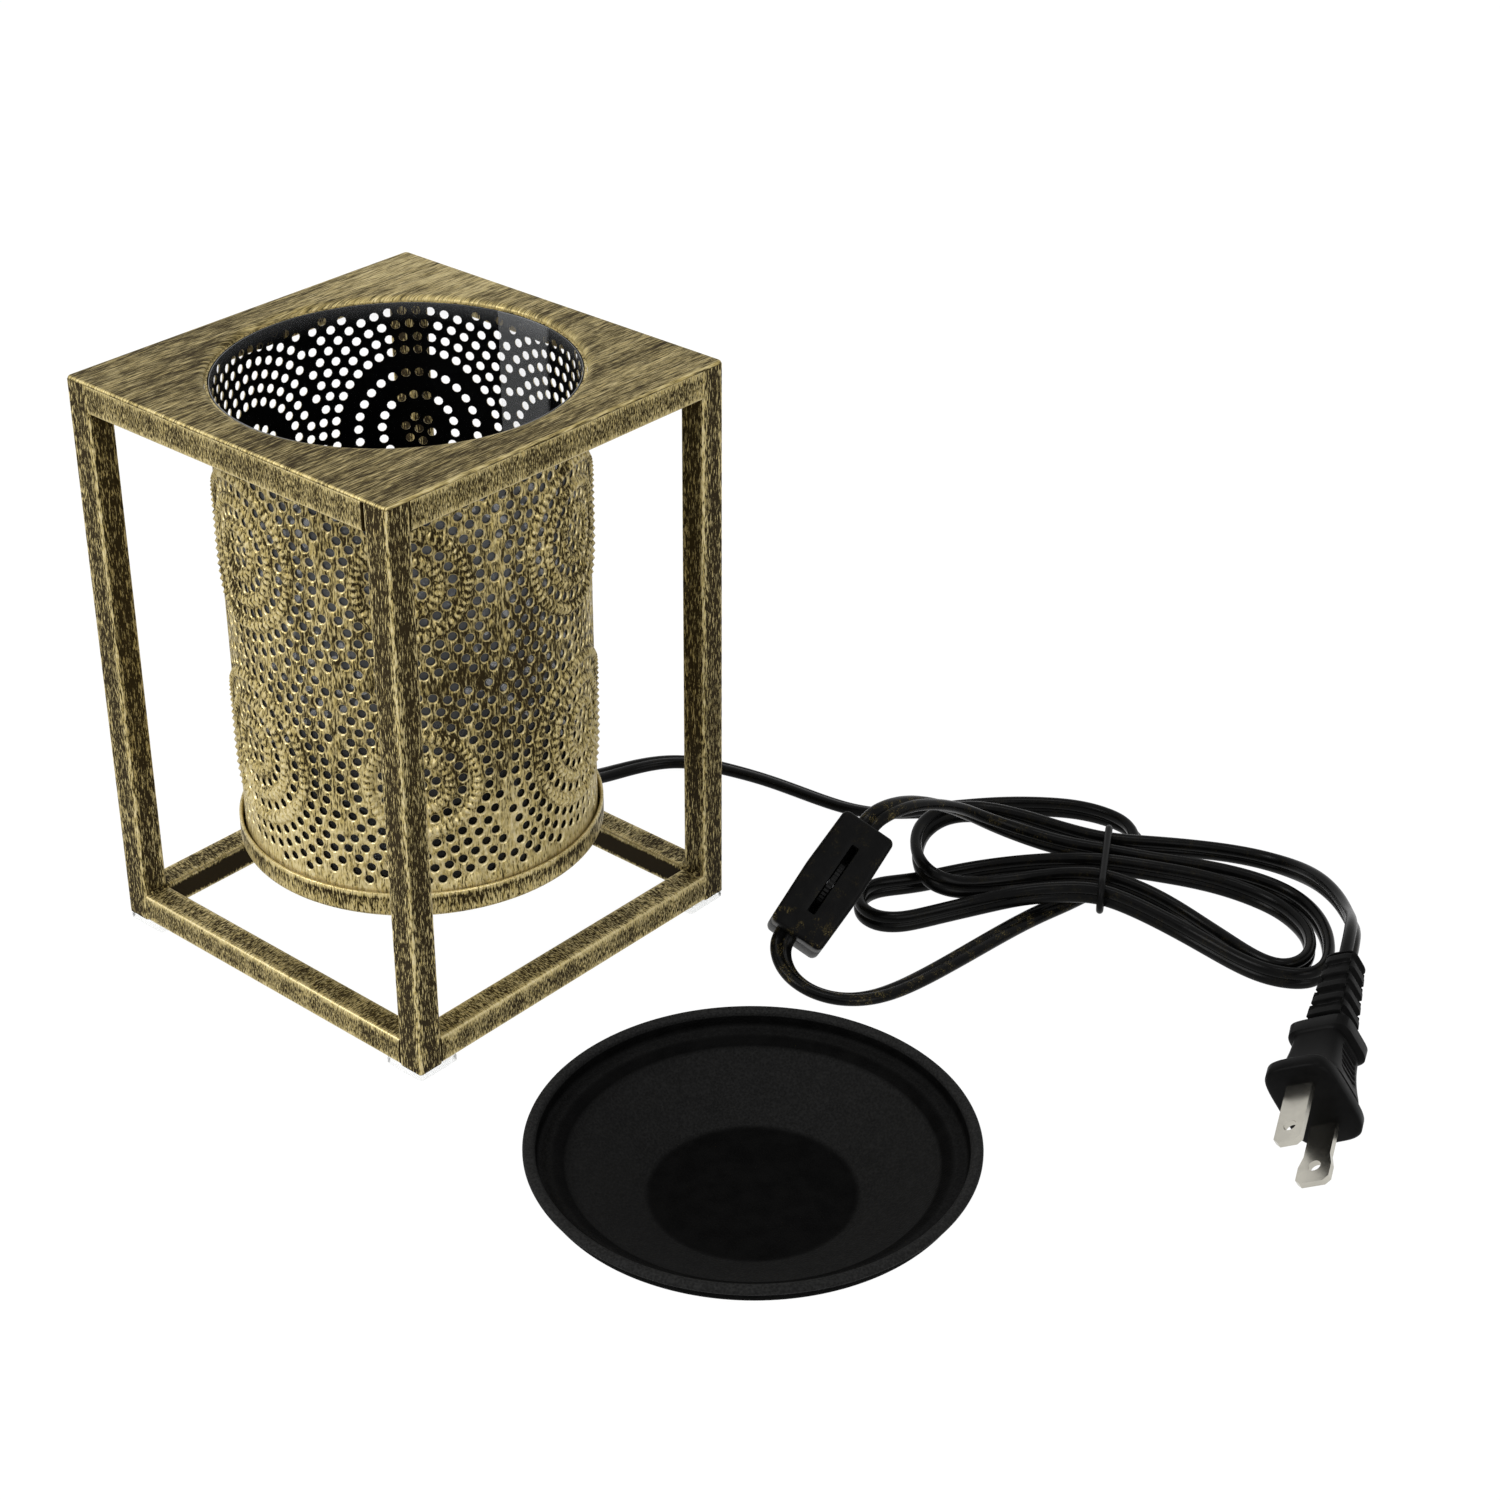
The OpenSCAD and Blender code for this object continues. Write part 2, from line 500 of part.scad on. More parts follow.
module lamp_base() color([0.93, 0.92, 0.88]) translate([0, 0, lamp_low]) cylinder(h = base_length, r = base_r);
module lamp_pins() color(zinc) for (x = [-1, 1]) translate([x * pin_x, 0, lamp_low - pin_length]) {
    cylinder(h = pin_head, r = pin_head_r);
    cylinder(h = pin_length, r = pin_r);
}
module lamp_reflector() color([0.8, 0.82, 0.85]) rotate_extrude($fn = 96) polygon([
    [base_r - glass, base_top], [base_r, base_top], [lamp_r, lens_low], [lamp_r, lamp_top],
    [lamp_r - glass, lamp_top], [lamp_r - glass, lens_low]]);
module lamp_lens() color([0.8, 0.85, 0.9, 0.5]) translate([0, 0, lens_low + 0.1]) cylinder(h = glass, r = lamp_r - glass - 0.1, $fn = 96);

module lead_wires() color([0.85, 0.85, 0.82]) {
    sweep(lead_route(lamp_route[0].x - 1.5, -3), 2 * lead_r, 2 * lead_r, 2);
    sweep(lead_route(lamp_route[0].x + 1.5, 3), 2 * lead_r, 2 * lead_r, 2);
}

module cord_bushing() color(black) translate([lamp_route[0].x, lamp_route[0].y, pan_height]) {
    translate([0, 0, -bushing_low]) cylinder(h = bushing_low, r = bushing_r);
    cylinder(h = pan_wall, r = bushing_neck_r);
    translate([0, 0, pan_wall]) cylinder(h = bushing_top, r = bushing_r);
}

module cord_lamp_side() color(black) sweep(lamp_route, cord_width, cord_thickness, 2);
module cord_plug_side() color(black) sweep(plug_route, cord_width, cord_thickness, 2);

module cord_tie() color(black) translate([tie_at.x, tie_at.y, 0]) rotate([0, 0, tie_turn]) {
    for (z = [tie_low, tie_high]) translate([-tie_half, 0, z]) rotate([0, 90, 0]) cylinder(h = 2 * tie_half, r = tie_r);
    for (s = [0, 180]) rotate([0, 0, s]) translate([tie_half, 0, (tie_low + tie_high) / 2]) rotate([90, 0, 0]) rotate([0, 0, -90])
        rotate_extrude(angle = 180) translate([(tie_high - tie_low) / 2, 0]) circle(tie_r);
}

// The cord's flat section, drawn along X, with a gap around it
module cord_way(from, to) translate([from, 0, 0]) {
    r = cord_thickness / 2 + cord_gap;
    y = (cord_width - cord_thickness) / 2;
    translate([0, -y, -r]) cube([to - from, 2 * y, 2 * r]);
    for (s = [-1, 1]) translate([0, s * y, 0]) rotate([0, 90, 0]) cylinder(h = to - from, r = r);
}

module on_dimmer() translate(dimmer_at) rotate(dimmer_turn) children();
module dimmer_outline(inset) {
    x = dimmer_length / 2 - inset;
    y = dimmer_width / 2 - inset;
    polygon([[-x, -y + dimmer_taper], [0, -y], [x, -y + dimmer_taper], [x, y - dimmer_taper], [0, y], [-x, y - dimmer_taper]]);
}
module dimmer_ways() {
    x = dimmer_length / 2;
    translate([0, low_hole, -cover_depth]) cord_way(-x - 1, -x + dimmer_wall + 1);
    translate([0, upper_hole, -cover_depth]) cord_way(x - dimmer_wall - 1, x + 1);
}

module dimmer_cover() color(black) on_dimmer() difference() {
    union() {
        difference() {
            translate([0, 0, -cover_depth]) linear_extrude(cover_depth) dimmer_outline(0);
            translate([0, 0, -cover_depth - 1]) linear_extrude(cover_depth + 1 - dimmer_wall) dimmer_outline(dimmer_wall);
        }
        for (x = [-1, 1]) translate([x * boss_at.x, boss_at.y, -cover_depth]) cylinder(h = cover_depth - dimmer_wall / 2, r = boss_r);
    }
    translate([-slot_length / 2, -wheel_width / 2 - wheel_gap, -cover_depth]) cube([slot_length, wheel_width + 2 * wheel_gap, cover_depth + 1]);
    for (x = [-1, 1]) translate([x * boss_at.x, boss_at.y, -cover_depth - 1]) cylinder(h = cover_depth - 1, r = small_screw_r + 0.05);
    dimmer_ways();
}

module dimmer_base() color(black) on_dimmer() difference() {
    union() {
        difference() {
            translate([0, 0, -dimmer_height]) linear_extrude(dimmer_height - cover_depth) dimmer_outline(0);
            translate([0, 0, -dimmer_height + dimmer_wall]) linear_extrude(dimmer_height) dimmer_outline(dimmer_wall);
        }
        for (x = [-1, 1]) translate([x * boss_at.x, boss_at.y, -dimmer_height + dimmer_wall / 2])
            cylinder(h = dimmer_height - cover_depth - dimmer_wall / 2, r = boss_r);
        for (y = [lug_y, -lug_y - lug]) translate([-2, y, -dimmer_height + dimmer_wall / 2])
            cube([4, lug, dimmer_height - dimmer_wall / 2 - axle_depth + axle_r + 1]);
        for (x = [-1, 1]) translate([x * (board.x / 2 - 2) - 0.6, board_y, -dimmer_height + dimmer_wall / 2])
            cube([1.2, board.y, dimmer_height - dimmer_wall / 2 - board_low]);
    }
    translate([0, 0, -axle_depth]) rotate([90, 0, 0]) cylinder(h = 2 * (lug_y + lug) + 1, r = axle_r + axle_gap, center = true);
    translate([0, 0, -axle_depth]) rotate([90, 0, 0]) cylinder(h = wheel_width + 2 * wheel_gap, r = wheel_r + 0.8 * wheel_gap, center = true);
    for (x = [-1, 1]) translate([x * boss_at.x, boss_at.y, -dimmer_height - 1]) {
        cylinder(h = dimmer_height, r = small_screw_r + 0.1);
        cylinder(h = 2.4, r = small_screw_r + 1);
    }
    dimmer_ways();
}

module dimmer_wheel() color(black) on_dimmer() translate([0, wheel_width / 2, -axle_depth]) rotate([90, 0, 0]) linear_extrude(wheel_width) difference() {
    polygon([for (i = [0:2 * wheel_ribs - 1]) (wheel_r - (i % 2) * rib_depth) * [cos(i * 180 / wheel_ribs), sin(i * 180 / wheel_ribs)]]);
    circle(axle_r + axle_gap);
}
module dimmer_axle() color(zinc) on_dimmer() translate([0, 0, -axle_depth]) rotate([90, 0, 0])
    cylinder(h = 2 * (lug_y + lug), r = axle_r, center = true);
module dimmer_board() color([0.1, 0.35, 0.15]) on_dimmer() translate([-board.x / 2, board_y, -board_low]) cube(board);
module dimmer_screws() color(zinc) on_dimmer() for (x = [-1, 1]) translate([x * boss_at.x, boss_at.y, -dimmer_height]) {
    translate([0, 0, 0.2]) cylinder(h = 1.2, r = small_screw_r + 0.9);
    translate([0, 0, 0.2]) cylinder(h = dimmer_height - cover_depth + 1.6, r = small_screw_r);
}

module on_plug() translate(plug_at) rotate(plug_turn) children();
// A block whose half width and half height change evenly along X
module taper(from, to, y0, y1, z0, z1) intersection() {
    linear_extrude(60, center = true) polygon([[from, -y0], [to, -y1], [to, y1], [from, y0]]);
    rotate([90, 0, 0]) linear_extrude(60, center = true) polygon([[from, -z0], [to, -z1], [to, z1], [from, z0]]);
}
module blade(wide) color(zinc) on_plug() translate([0, (wide ? -1 : 1) * blade_spacing / 2 + blade_thickness / 2, 0]) rotate([90, 0, 0])
    linear_extrude(blade_thickness) difference() {
        h = blade_width / 2;
        t = wide ? wide_blade_width / 2 : h;
        l = blade_length;
        polygon([[-blade_root, -h], [l - 8, -h], [l - 5, -t], [l - 1.2, -t], [l, -t + 1.2], [l, t - 1.2], [l - 1.2, t], [l - 5, t], [l - 8, h], [-blade_root, h]]);
        translate([l - 4.9, 0]) circle(blade_hole_r);
    }

module plug_body() color(black) on_plug() difference() {
    union() {
        along_x(-flange, 0) rounded(flange_width, flange_height, 3.5);
        taper(collar_x, -flange, 0.27 * flange_width, 0.34 * flange_width, 0.38 * flange_height, 0.47 * flange_height);
        along_x(relief_x, collar_x) rounded(0.575 * flange_width, 0.9 * flange_height, 3);
        taper(tail_x, relief_x, cord_width / 2 + 0.6, cord_width / 2 + 1.6, cord_thickness / 2 + 1.8, cord_thickness / 2 + 2.8);
        for (i = [0:relief_ribs - 1]) let (k = i / (relief_ribs - 1), x = relief_x - 2 - i * (relief_length - 3.4) / (relief_ribs - 1))
            along_x(x - 1.4, x) rounded(cord_width + 2 * (1 - k) * 1.3 + 2.4, cord_thickness + 2 * (1 - k) * 1.4 + 4.8, 2);
    }
    for (y = [-1, 1]) translate([-blade_root, y * blade_spacing / 2 - blade_thickness / 2, -blade_width / 2])
        cube([blade_root + 1, blade_thickness, blade_width]);
    cord_way(tail_x - 1, tail_x + 1.7);
}
module blade_narrow() blade(false);
module blade_wide() blade(true);

module wax_dish() color(black) translate(dish_at) rotate_extrude($fn = 96) {
    w = dish_wall;
    h = dish_height;
    z = ledge_height;
    k = z - step_drop;
    polygon([
        [0, 0], [dish_base_r, 0], [step_r - 1.4, k - 1.6], [step_r, k], [lip_r, z], [dish_wall_r, z], [dish_wall_r + 0.5, h - 0.9],
        [dish_r - w, h - 0.9], [dish_r - w, h - 1.8], [dish_r, h - 1.8], [dish_r, h - 0.6], [dish_r - 0.4, h], [dish_wall_r + 0.4, h],
        [dish_wall_r + 0.5 - w, h - 0.6], [dish_wall_r - w, z + w], [lip_r - 0.4 * w, z + w], [step_r - 0.6 * w, k + 0.8 * w],
        [step_r - 1.4 - 0.5 * w, k - 1.6 + 0.9 * w], [dish_base_r - 0.2, w], [0, w]]);
}

post_front();
post_right();
post_back();
post_left();
rail_low_front();
rail_low_right();
rail_low_back();
rail_low_left();
rail_top_front();
rail_top_right();
rail_top_back();
rail_top_left();
top_plate();
pad_front();
pad_right();
pad_back();
pad_left();
shade();
shade_hangers();
shade_liner();
base_pan();
pan_screws();
pan_nuts();
holder_bracket();
bracket_screws();
bracket_nuts();
lamp_holder();
holder_screws();
holder_nuts();
lamp_base();
lamp_pins();
lamp_reflector();
lamp_lens();
lead_wires();
cord_bushing();
cord_lamp_side();
cord_plug_side();
cord_tie();
dimmer_cover();
dimmer_base();
dimmer_wheel();
dimmer_axle();
dimmer_board();
dimmer_screws();
plug_body();
blade_narrow();
blade_wide();
wax_dish();
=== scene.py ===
"""Finish of an electric wax warmer: gilded tube stand, pierced shade, corded dimmer, plug and loose wax dish.

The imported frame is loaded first, and every piece here stands where its CAD node stands.
Shapes are worked out in millimetres and go into their meshes in metres.
"""

import math

import bpy
import numpy as np
from mathutils import Matrix, Vector
from mathutils.geometry import delaunay_2d_cdt


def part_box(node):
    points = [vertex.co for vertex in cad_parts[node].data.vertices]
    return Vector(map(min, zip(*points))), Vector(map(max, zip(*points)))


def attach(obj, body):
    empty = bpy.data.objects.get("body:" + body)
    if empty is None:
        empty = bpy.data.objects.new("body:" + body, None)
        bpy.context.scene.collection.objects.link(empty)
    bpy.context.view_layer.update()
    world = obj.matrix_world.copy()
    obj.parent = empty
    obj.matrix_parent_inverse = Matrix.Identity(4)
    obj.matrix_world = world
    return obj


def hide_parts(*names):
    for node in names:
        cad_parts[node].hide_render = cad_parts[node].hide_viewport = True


bl_info = {
    "name": "Wax Warmer Finish",
    "version": (1, 0, 0),
    "blender": (4, 5, 0),
    "location": "3D View > Sidebar > Wax Warmer",
    "description": "Builds the visible pieces of an electric wax warmer around its packed frame",
    "category": "Object",
}

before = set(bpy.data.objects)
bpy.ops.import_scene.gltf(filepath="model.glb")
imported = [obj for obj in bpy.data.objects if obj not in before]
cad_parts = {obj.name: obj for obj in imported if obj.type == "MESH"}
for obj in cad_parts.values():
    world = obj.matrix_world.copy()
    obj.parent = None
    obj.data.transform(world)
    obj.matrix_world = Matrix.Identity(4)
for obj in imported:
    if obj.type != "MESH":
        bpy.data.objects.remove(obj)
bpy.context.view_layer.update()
MM = 0.001
TURN = 2 * np.pi
QUARTER = np.pi / 2

# Cord routes: x, y and z of the centre line in millimetres, and the tilt of the flat section in degrees
LAMP_ROUTE = [
    (-8, 16, 24, 0), (-8, 16, 20.5, 0), (-6, 15.5, 15.5, 0), (0, 13.5, 12, 0), (9, 10.5, 11.5, 0),
    (20, 8.5, 11.5, 0), (36, 8, 11.8, 0), (48, 8, 13, 0), (57, 8.5, 10.6, 0), (65, 9, 4, 0), (76, 8, 2, 5),
    (86, 4, 2.2, 10), (94, -3, 2.4, 15), (97.7, -16, 2.6, 20), (100.1, -27.3, 2.7, 25),
    (101.2, -40.9, 2.7, 25), (102.4, -50, 2.6, 25), (104.6, -56.7, 2.6, 25), (108.3, -62.2, 2.6, 30),
    (113.6, -67.1, 2.8, 48), (119.4, -72.3, 3, 68), (125.6, -78, 3.1, 82), (132, -84.2, 3.1, 88),
    (137.6, -91, 3.1, 88), (142.4, -98.3, 3.1, 85), (144.6, -106.8, 3.1, 80), (144, -114.1, 3, 70),
    (140.1, -119.6, 2.5, 42), (133.2, -122.3, 1.8, 12), (124.9, -122.9, 1.6, 0), (115.2, -122.3, 1.6, 0),
    (105.5, -120.9, 1.6, 0), (95.7, -118.9, 1.8, -5), (85.2, -117.6, 1.9, -10), (72.9, -116.6, 2, -12),
    (60.8, -115.6, 2.1, -15), (49.5, -114.2, 2.2, -15), (40.4, -111.9, 2.5, -20), (34.1, -107.4, 2.9, -26),
    (30.2, -101.6, 4.1, -30), (29.6, -95.3, 5.4, -34), (31.3, -90.1, 7, -34), (34.6, -86.3, 9.4, -34),
    (38.3, -86.4, 12.1, -34),
]
PLUG_ROUTE = [
    (63.3, -88.4, 28.6, -34), (67.8, -88.6, 31.8, -34), (78.4, -88.7, 30, -12), (86.6, -89.2, 27, 5),
    (94.9, -89.6, 22.5, 20), (101.4, -90.8, 18.5, 35), (106, -93.5, 15, 50), (110.3, -97.7, 12, 70),
    (113.9, -103.8, 10, 85), (117.1, -112, 8.9, 90), (122.2, -120.9, 8.3, 90), (126.6, -130.3, 7.8, 85),
    (132.2, -137.8, 7, 75), (137.4, -145.7, 6, 70), (141.7, -154.1, 4.6, 76), (143.4, -162.9, 3.4, 86),
    (140.8, -171.1, 3, 90), (135.7, -177.8, 3, 90), (129.2, -183.1, 3, 90), (122, -186.7, 3, 90),
    (116.1, -186.6, 3, 90), (112.2, -182.7, 3, 90), (109.9, -176.9, 3, 90), (109.6, -169.9, 3, 90),
    (110.5, -161.5, 3.2, 90), (110.6, -152.2, 4.3, 90), (108.8, -142.5, 6.6, 90), (106.5, -131.8, 8.3, 90),
    (103.1, -125.9, 8.2, 90), (98.5, -120.3, 7.8, 90), (92.3, -114.6, 7.3, 90), (86.7, -108.1, 4.8, 90),
    (79.6, -102.3, 3.3, 90), (73.7, -99.1, 3, 90), (68.8, -96.3, 3, 90), (65.8, -92.1, 3, 90),
    (65.9, -87.4, 3, 90), (68.6, -83.3, 3, 90), (73.3, -81.4, 3, 90), (78.1, -82.2, 3, 90),
    (82.5, -85.7, 3, 90), (86.9, -88.7, 3, 90), (89.9, -90.4, 3, 90), (96.9, -94.3, 3.2, 90),
    (103, -100.3, 4.4, 90), (108.5, -108, 6.2, 90), (113.3, -116.1, 7.8, 90), (118.3, -123.6, 8.3, 90),
    (123.1, -132.6, 7.8, 90), (128.7, -140.2, 6.6, 90), (133.8, -148.1, 5, 90), (136.7, -155.8, 3.6, 90),
    (137.1, -163.1, 3.1, 90), (135, -169.6, 3, 90), (131.7, -175.2, 3, 90), (126.8, -179.3, 3, 90),
    (121.4, -181.4, 3, 90), (116.4, -180.8, 3, 90), (113.1, -177.8, 3, 90), (112.9, -171.4, 3, 90),
    (115, -162.9, 3, 90), (116.7, -154.4, 3.2, 90), (117.2, -146, 4.5, 90), (115.2, -137.1, 7, 90),
    (112.4, -127.7, 8.3, 90), (109, -121.7, 8, 90), (104.6, -115.4, 6.8, 85), (98.6, -109.5, 5.6, 70),
    (92.2, -104.4, 5.4, 58), (85.6, -100.4, 6.9, 58), (82.3, -95.5, 8.9, 72), (84.8, -89.6, 9.9, 90),
    (89.7, -84.9, 10.6, 105), (95.7, -81.8, 11.5, 120), (102, -81.7, 12.4, 135), (107.6, -83.5, 12.2, 145),
    (112.4, -86.8, 11.6, 140), (116.4, -92, 10.6, 120), (120.1, -99.3, 9.6, 100), (122.8, -107.9, 8.8, 90),
    (126.2, -118.1, 8.3, 90), (132.3, -126.4, 8.2, 85), (138.4, -133.7, 7.6, 78), (144.3, -141.1, 6.8, 72),
    (148.6, -149.6, 6.4, 75), (149.5, -159.5, 7, 80), (142.9, -171.2, 11.4, 82), (136.1, -180.9, 12.9, 78),
    (125.7, -189.5, 16, 70), (112.7, -197.3, 24.2, 61), (100, -202.7, 21.8, 61),
]
ROUTE_STEPS = 8

# Large and small medallions of the shade: turns about the axis in degrees, reach, and the two rows' heights
MEDALLION_ROWS = (61.0, 112.0)
LARGE_TURNS, LARGE_REACH = (42.0, 166.0, 291.0), 27.0
SMALL_TURNS, SMALL_REACH = (104.0, 228.5, 346.5), 17.0
# Rings of holes (radius, count), and raised fluted rings (radius, flutes)
LARGE_HOLES = ((0, 1), (3.3, 6), (9.1, 18), (15, 28), (20.9, 40))
SMALL_HOLES = ((0, 1), (3.3, 6), (9.5, 18), (16, 30))
LARGE_FLUTES = ((6.1, 22), (12.0, 44), (17.9, 64))
SMALL_FLUTES = ((6.3, 22), (12.7, 46))
# Past the last ring of holes: distance between rings, and between the holes on a ring
RING_STEP, HOLE_STEP = 3.35, 3.45
# Heights between which the shade is pierced
PIERCED_LOW, PIERCED_HIGH = 34.5, 143.0
# How far a hole's edge and the collar round it sink, and how much wider the collar is
EDGE_SINK, COLLAR_SINK, COLLAR_WIDTH = 0.42, 0.06, 0.36
# A darker patch on the shade, streaks in its paint and partly painted shade: turn about the axis and spread in degrees,
# height and spread, and how dark
SHADED_STREAKS_TURN, SHADED_STREAKS_ARC = 251.0, 20
SHADED_STREAKS_HEIGHT, SHADED_STREAKS_REACH, SHADED_STREAKS_DEPTH = 90.0, 19, 0.6
# Points round a hole, and round each rim of the shade
HOLE_POINTS, RIM_POINTS = 10, 180

# Sizes that the boxes of the CAD nodes don't give
PLATE_HOLE = 44.2
SHADE_RADIUS, SHADE_WALL = 43.2, 0.6
LINER_RADIUS, LINER_WALL = 42.28, 0.18
DISH_LEDGE, DISH_STEP, DISH_LIP, DISH_BASE, DISH_SHEET = 11.2, 41.5, 43.5, 23.0, 0.8
# Places of the CAD nodes that stand askew, and their turns about X, Y and Z in degrees
DIMMER_AT, DIMMER_TURN = (48.5, -91.5, 23.5), (34.1, -35, -1.9)
PLUG_AT, PLUG_TURN = (58.8, -220.2, 13.9), (119, 10, 203)

# The photograph's camera: its focal length in a frame 36 mm wide, its place, and its three ways
FOCAL_LENGTH = 70.35
CAMERA_AT = (-415.3, -464.2, 406.9)
CAMERA_RIGHT = (0.65469, -0.75588, 0.00509)
CAMERA_DOWN = (-0.378, -0.3336, -0.8634)
CAMERA_AHEAD = (0.6543, 0.5634, -0.5045)
# Studio lamps: name, place and size across in metres, and power in watts
LAMPS = (
    ("key_lamp", (-0.8, 0.4, 0.85), 0.7, 10.5),
    ("top_lamp", (0.1, -0.2, 1.25), 0.4, 2.4),
    ("front_lamp", (-0.3, -1.15, 0.5), 0.8, 4.5),
)
LAMP_AIM = (0, -0.05, 0.06)
# Strength of the white surroundings as a light, and the floor's own white with its share
SOFT_LIGHT, FLOOR_GLOW, FLOOR_SHARE = 0.33, 1.05, 0.95

POSTS = ("post_front", "post_right", "post_back", "post_left")
PADS = ("pad_front", "pad_right", "pad_back", "pad_left")
# Points of a low rail's section on the face that looks into the stand, which stays black
BARE_FACES = {"front": (31, 0), "right": (23, 24), "back": (15, 16), "left": (7, 8)}
# Gold that a tube's rounded edge gains, point by point, and the mark that keeps a face black
EDGE_GOLD, BARE = [0.45, 0.7, 1.1, 1.1, 0.7, 0.45], 2.5


class StandSettings(bpy.types.PropertyGroup):
    """Sizes of the tube stand's finish."""

    corner: bpy.props.FloatProperty(
        name="Tube corner", description="Rounding of the square tube's edges",
        default=0.75 * MM, unit="LENGTH", precision=5)
    slit: bpy.props.FloatProperty(
        name="Open joint", description="Gap left open between the left top rail and the front post",
        default=0.6 * MM, unit="LENGTH", precision=5)
    lip: bpy.props.FloatProperty(
        name="Hole lip", description="How far the plate's edge turns down round its hole",
        default=1.7 * MM, unit="LENGTH", precision=5)
    weld: bpy.props.FloatProperty(
        name="Weld bead", description="Radius of the weld beads in the stand's inner corners",
        default=1.0 * MM, unit="LENGTH", precision=5)


class ShadeSettings(bpy.types.PropertyGroup):
    """Sizes of the pierced shade's pattern."""

    hole: bpy.props.FloatProperty(
        name="Hole", description="Radius of a pierced hole",
        default=1.13 * MM, unit="LENGTH", precision=5)
    spacing: bpy.props.FloatProperty(
        name="Least spacing", description="Least distance between the centres of two holes",
        default=2.95 * MM, unit="LENGTH", precision=5)
    relief: bpy.props.FloatProperty(
        name="Relief", description="Height of the raised fluted rings",
        default=1.0 * MM, unit="LENGTH", precision=5)


class FinishSettings(bpy.types.PropertyGroup):
    """Colours of the finishes."""

    gold: bpy.props.FloatVectorProperty(
        name="Gold", description="Dry-brushed gold paint",
        subtype="COLOR", size=3, min=0, max=1, default=(0.5, 0.388, 0.14))
    undercoat: bpy.props.FloatVectorProperty(
        name="Undercoat", description="Black paint under the gold",
        subtype="COLOR", size=3, min=0, max=1, default=(0.024, 0.016, 0.005))
    plastic: bpy.props.FloatVectorProperty(
        name="Black plastic", description="Cord, dimmer and plug",
        subtype="COLOR", size=3, min=0, max=1, default=(0.002, 0.002, 0.002))
    enamel: bpy.props.FloatVectorProperty(
        name="Dish coating", description="Matt black coating of the wax dish",
        subtype="COLOR", size=3, min=0, max=1, default=(0.0015, 0.0015, 0.0015))


class CordSettings(bpy.types.PropertyGroup):
    """Sizes of the flat twin cord."""

    width: bpy.props.FloatProperty(
        name="Width", description="Width of the flat cord",
        default=5.7 * MM, unit="LENGTH", precision=5)
    thickness: bpy.props.FloatProperty(
        name="Thickness", description="Thickness of the flat cord",
        default=2.8 * MM, unit="LENGTH", precision=5)
    groove: bpy.props.FloatProperty(
        name="Groove", description="Depth of the groove between the two conductors",
        default=0.45 * MM, unit="LENGTH", precision=5)


def around(count):
    """Angles evenly round a full turn."""
    return np.arange(count) * TURN / count


def at_height(loop, z):
    """A flat outline lifted to a height."""
    return np.c_[loop, np.full(len(loop), z)]


def node_box(name):
    """Low and high corner of a CAD node, in millimetres."""
    return [np.array(corner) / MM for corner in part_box(name)]


def surface(points, quads=None, tris=None, **marks):
    """A surface: its points, its faces with the number of their finish, and values marked on its points."""
    faces = [(np.asarray(f, int), 0) for f in (quads, tris) if f is not None and len(f)]
    marks = {k: np.asarray(v, float) for k, v in marks.items()}
    return {"points": np.asarray(points, float), "faces": faces, "marks": marks}


def joined(*parts):
    """Several surfaces as one. A mark that a surface lacks is 0 there."""
    names = sorted({k for p in parts for k in p["marks"]})
    starts = np.cumsum([0] + [len(p["points"]) for p in parts])
    values = lambda p, k: p["marks"].get(k, np.zeros(len(p["points"])))
    return {
        "points": np.concatenate([p["points"] for p in parts]),
        "faces": [(f + s, paint) for p, s in zip(parts, starts) for f, paint in p["faces"]],
        "marks": {k: np.concatenate([values(p, k) for p in parts]) for k in names},
    }


def outward(part):
    """A closed surface turned so that its faces point out: the signed volume under them is made positive."""
    p = part["points"] - part["points"].mean(0)
    volume = 0.0
    for f, _ in part["faces"]:
        for k in range(1, f.shape[1] - 1):
            volume += np.einsum("ij,ij->i", p[f[:, 0]], np.cross(p[f[:, k]], p[f[:, k + 1]])).sum()
    if volume < 0:
        part["faces"] = [(f[:, ::-1], paint) for f, paint in part["faces"]]
    return part


def lofted(rings, endless=False, **marks):
    """Skin over a stack of closed rings (rows, points round, 3).

    The ends are closed to their middles, or the last ring joins the first if endless.
    """
    rows, cols = rings.shape[:2]
    r = np.arange(rows if endless else rows - 1)[:, None]
    c = np.arange(cols)[None, :]
    here, after, beside = r * cols, (r + 1) % rows * cols, (c + 1) % cols
    quads = np.stack([here + c, here + beside, after + beside, after + c], -1).reshape(-1, 4)
    points, tris = rings.reshape(-1, 3), None
    marks = {k: np.broadcast_to(v, (rows, cols)).reshape(-1) for k, v in marks.items()}
    if not endless:
        total, k = rows * cols, np.arange(cols)
        first = np.stack([np.full(cols, total), (k + 1) % cols, k], -1)
        last = np.stack([np.full(cols, total + 1), total - cols + k, total - cols + (k + 1) % cols], -1)
        tris = np.concatenate([first, last])
        points = np.concatenate([points, rings[0].mean(0)[None], rings[-1].mean(0)[None]])
        marks = {n: np.concatenate([v, [v[:cols].mean()], [v[-cols:].mean()]]) for n, v in marks.items()}
    return outward(surface(points, quads, tris, **marks))


def softened(corners, cut, steps=5):
    """A polyline whose inner corners are arcs of a parabola, which leave each leg at most cut or 0.45 of it away."""
    p = np.asarray(corners, float)
    before, at, after = p[:-2], p[1:-1], p[2:]
    a, b = before - at, after - at
    la, lb = np.linalg.norm(a, axis=1, keepdims=True), np.linalg.norm(b, axis=1, keepdims=True)
    start, end = at + a / la * np.minimum(cut, 0.45 * la), at + b / lb * np.minimum(cut, 0.45 * lb)
    t = np.linspace(0, 1, steps)[None, :, None]
    arcs = (1 - t) ** 2 * start[:, None] + 2 * t * (1 - t) * at[:, None] + t**2 * end[:, None]
    return np.concatenate([p[:1], arcs.reshape(-1, p.shape[1]), p[-1:]])


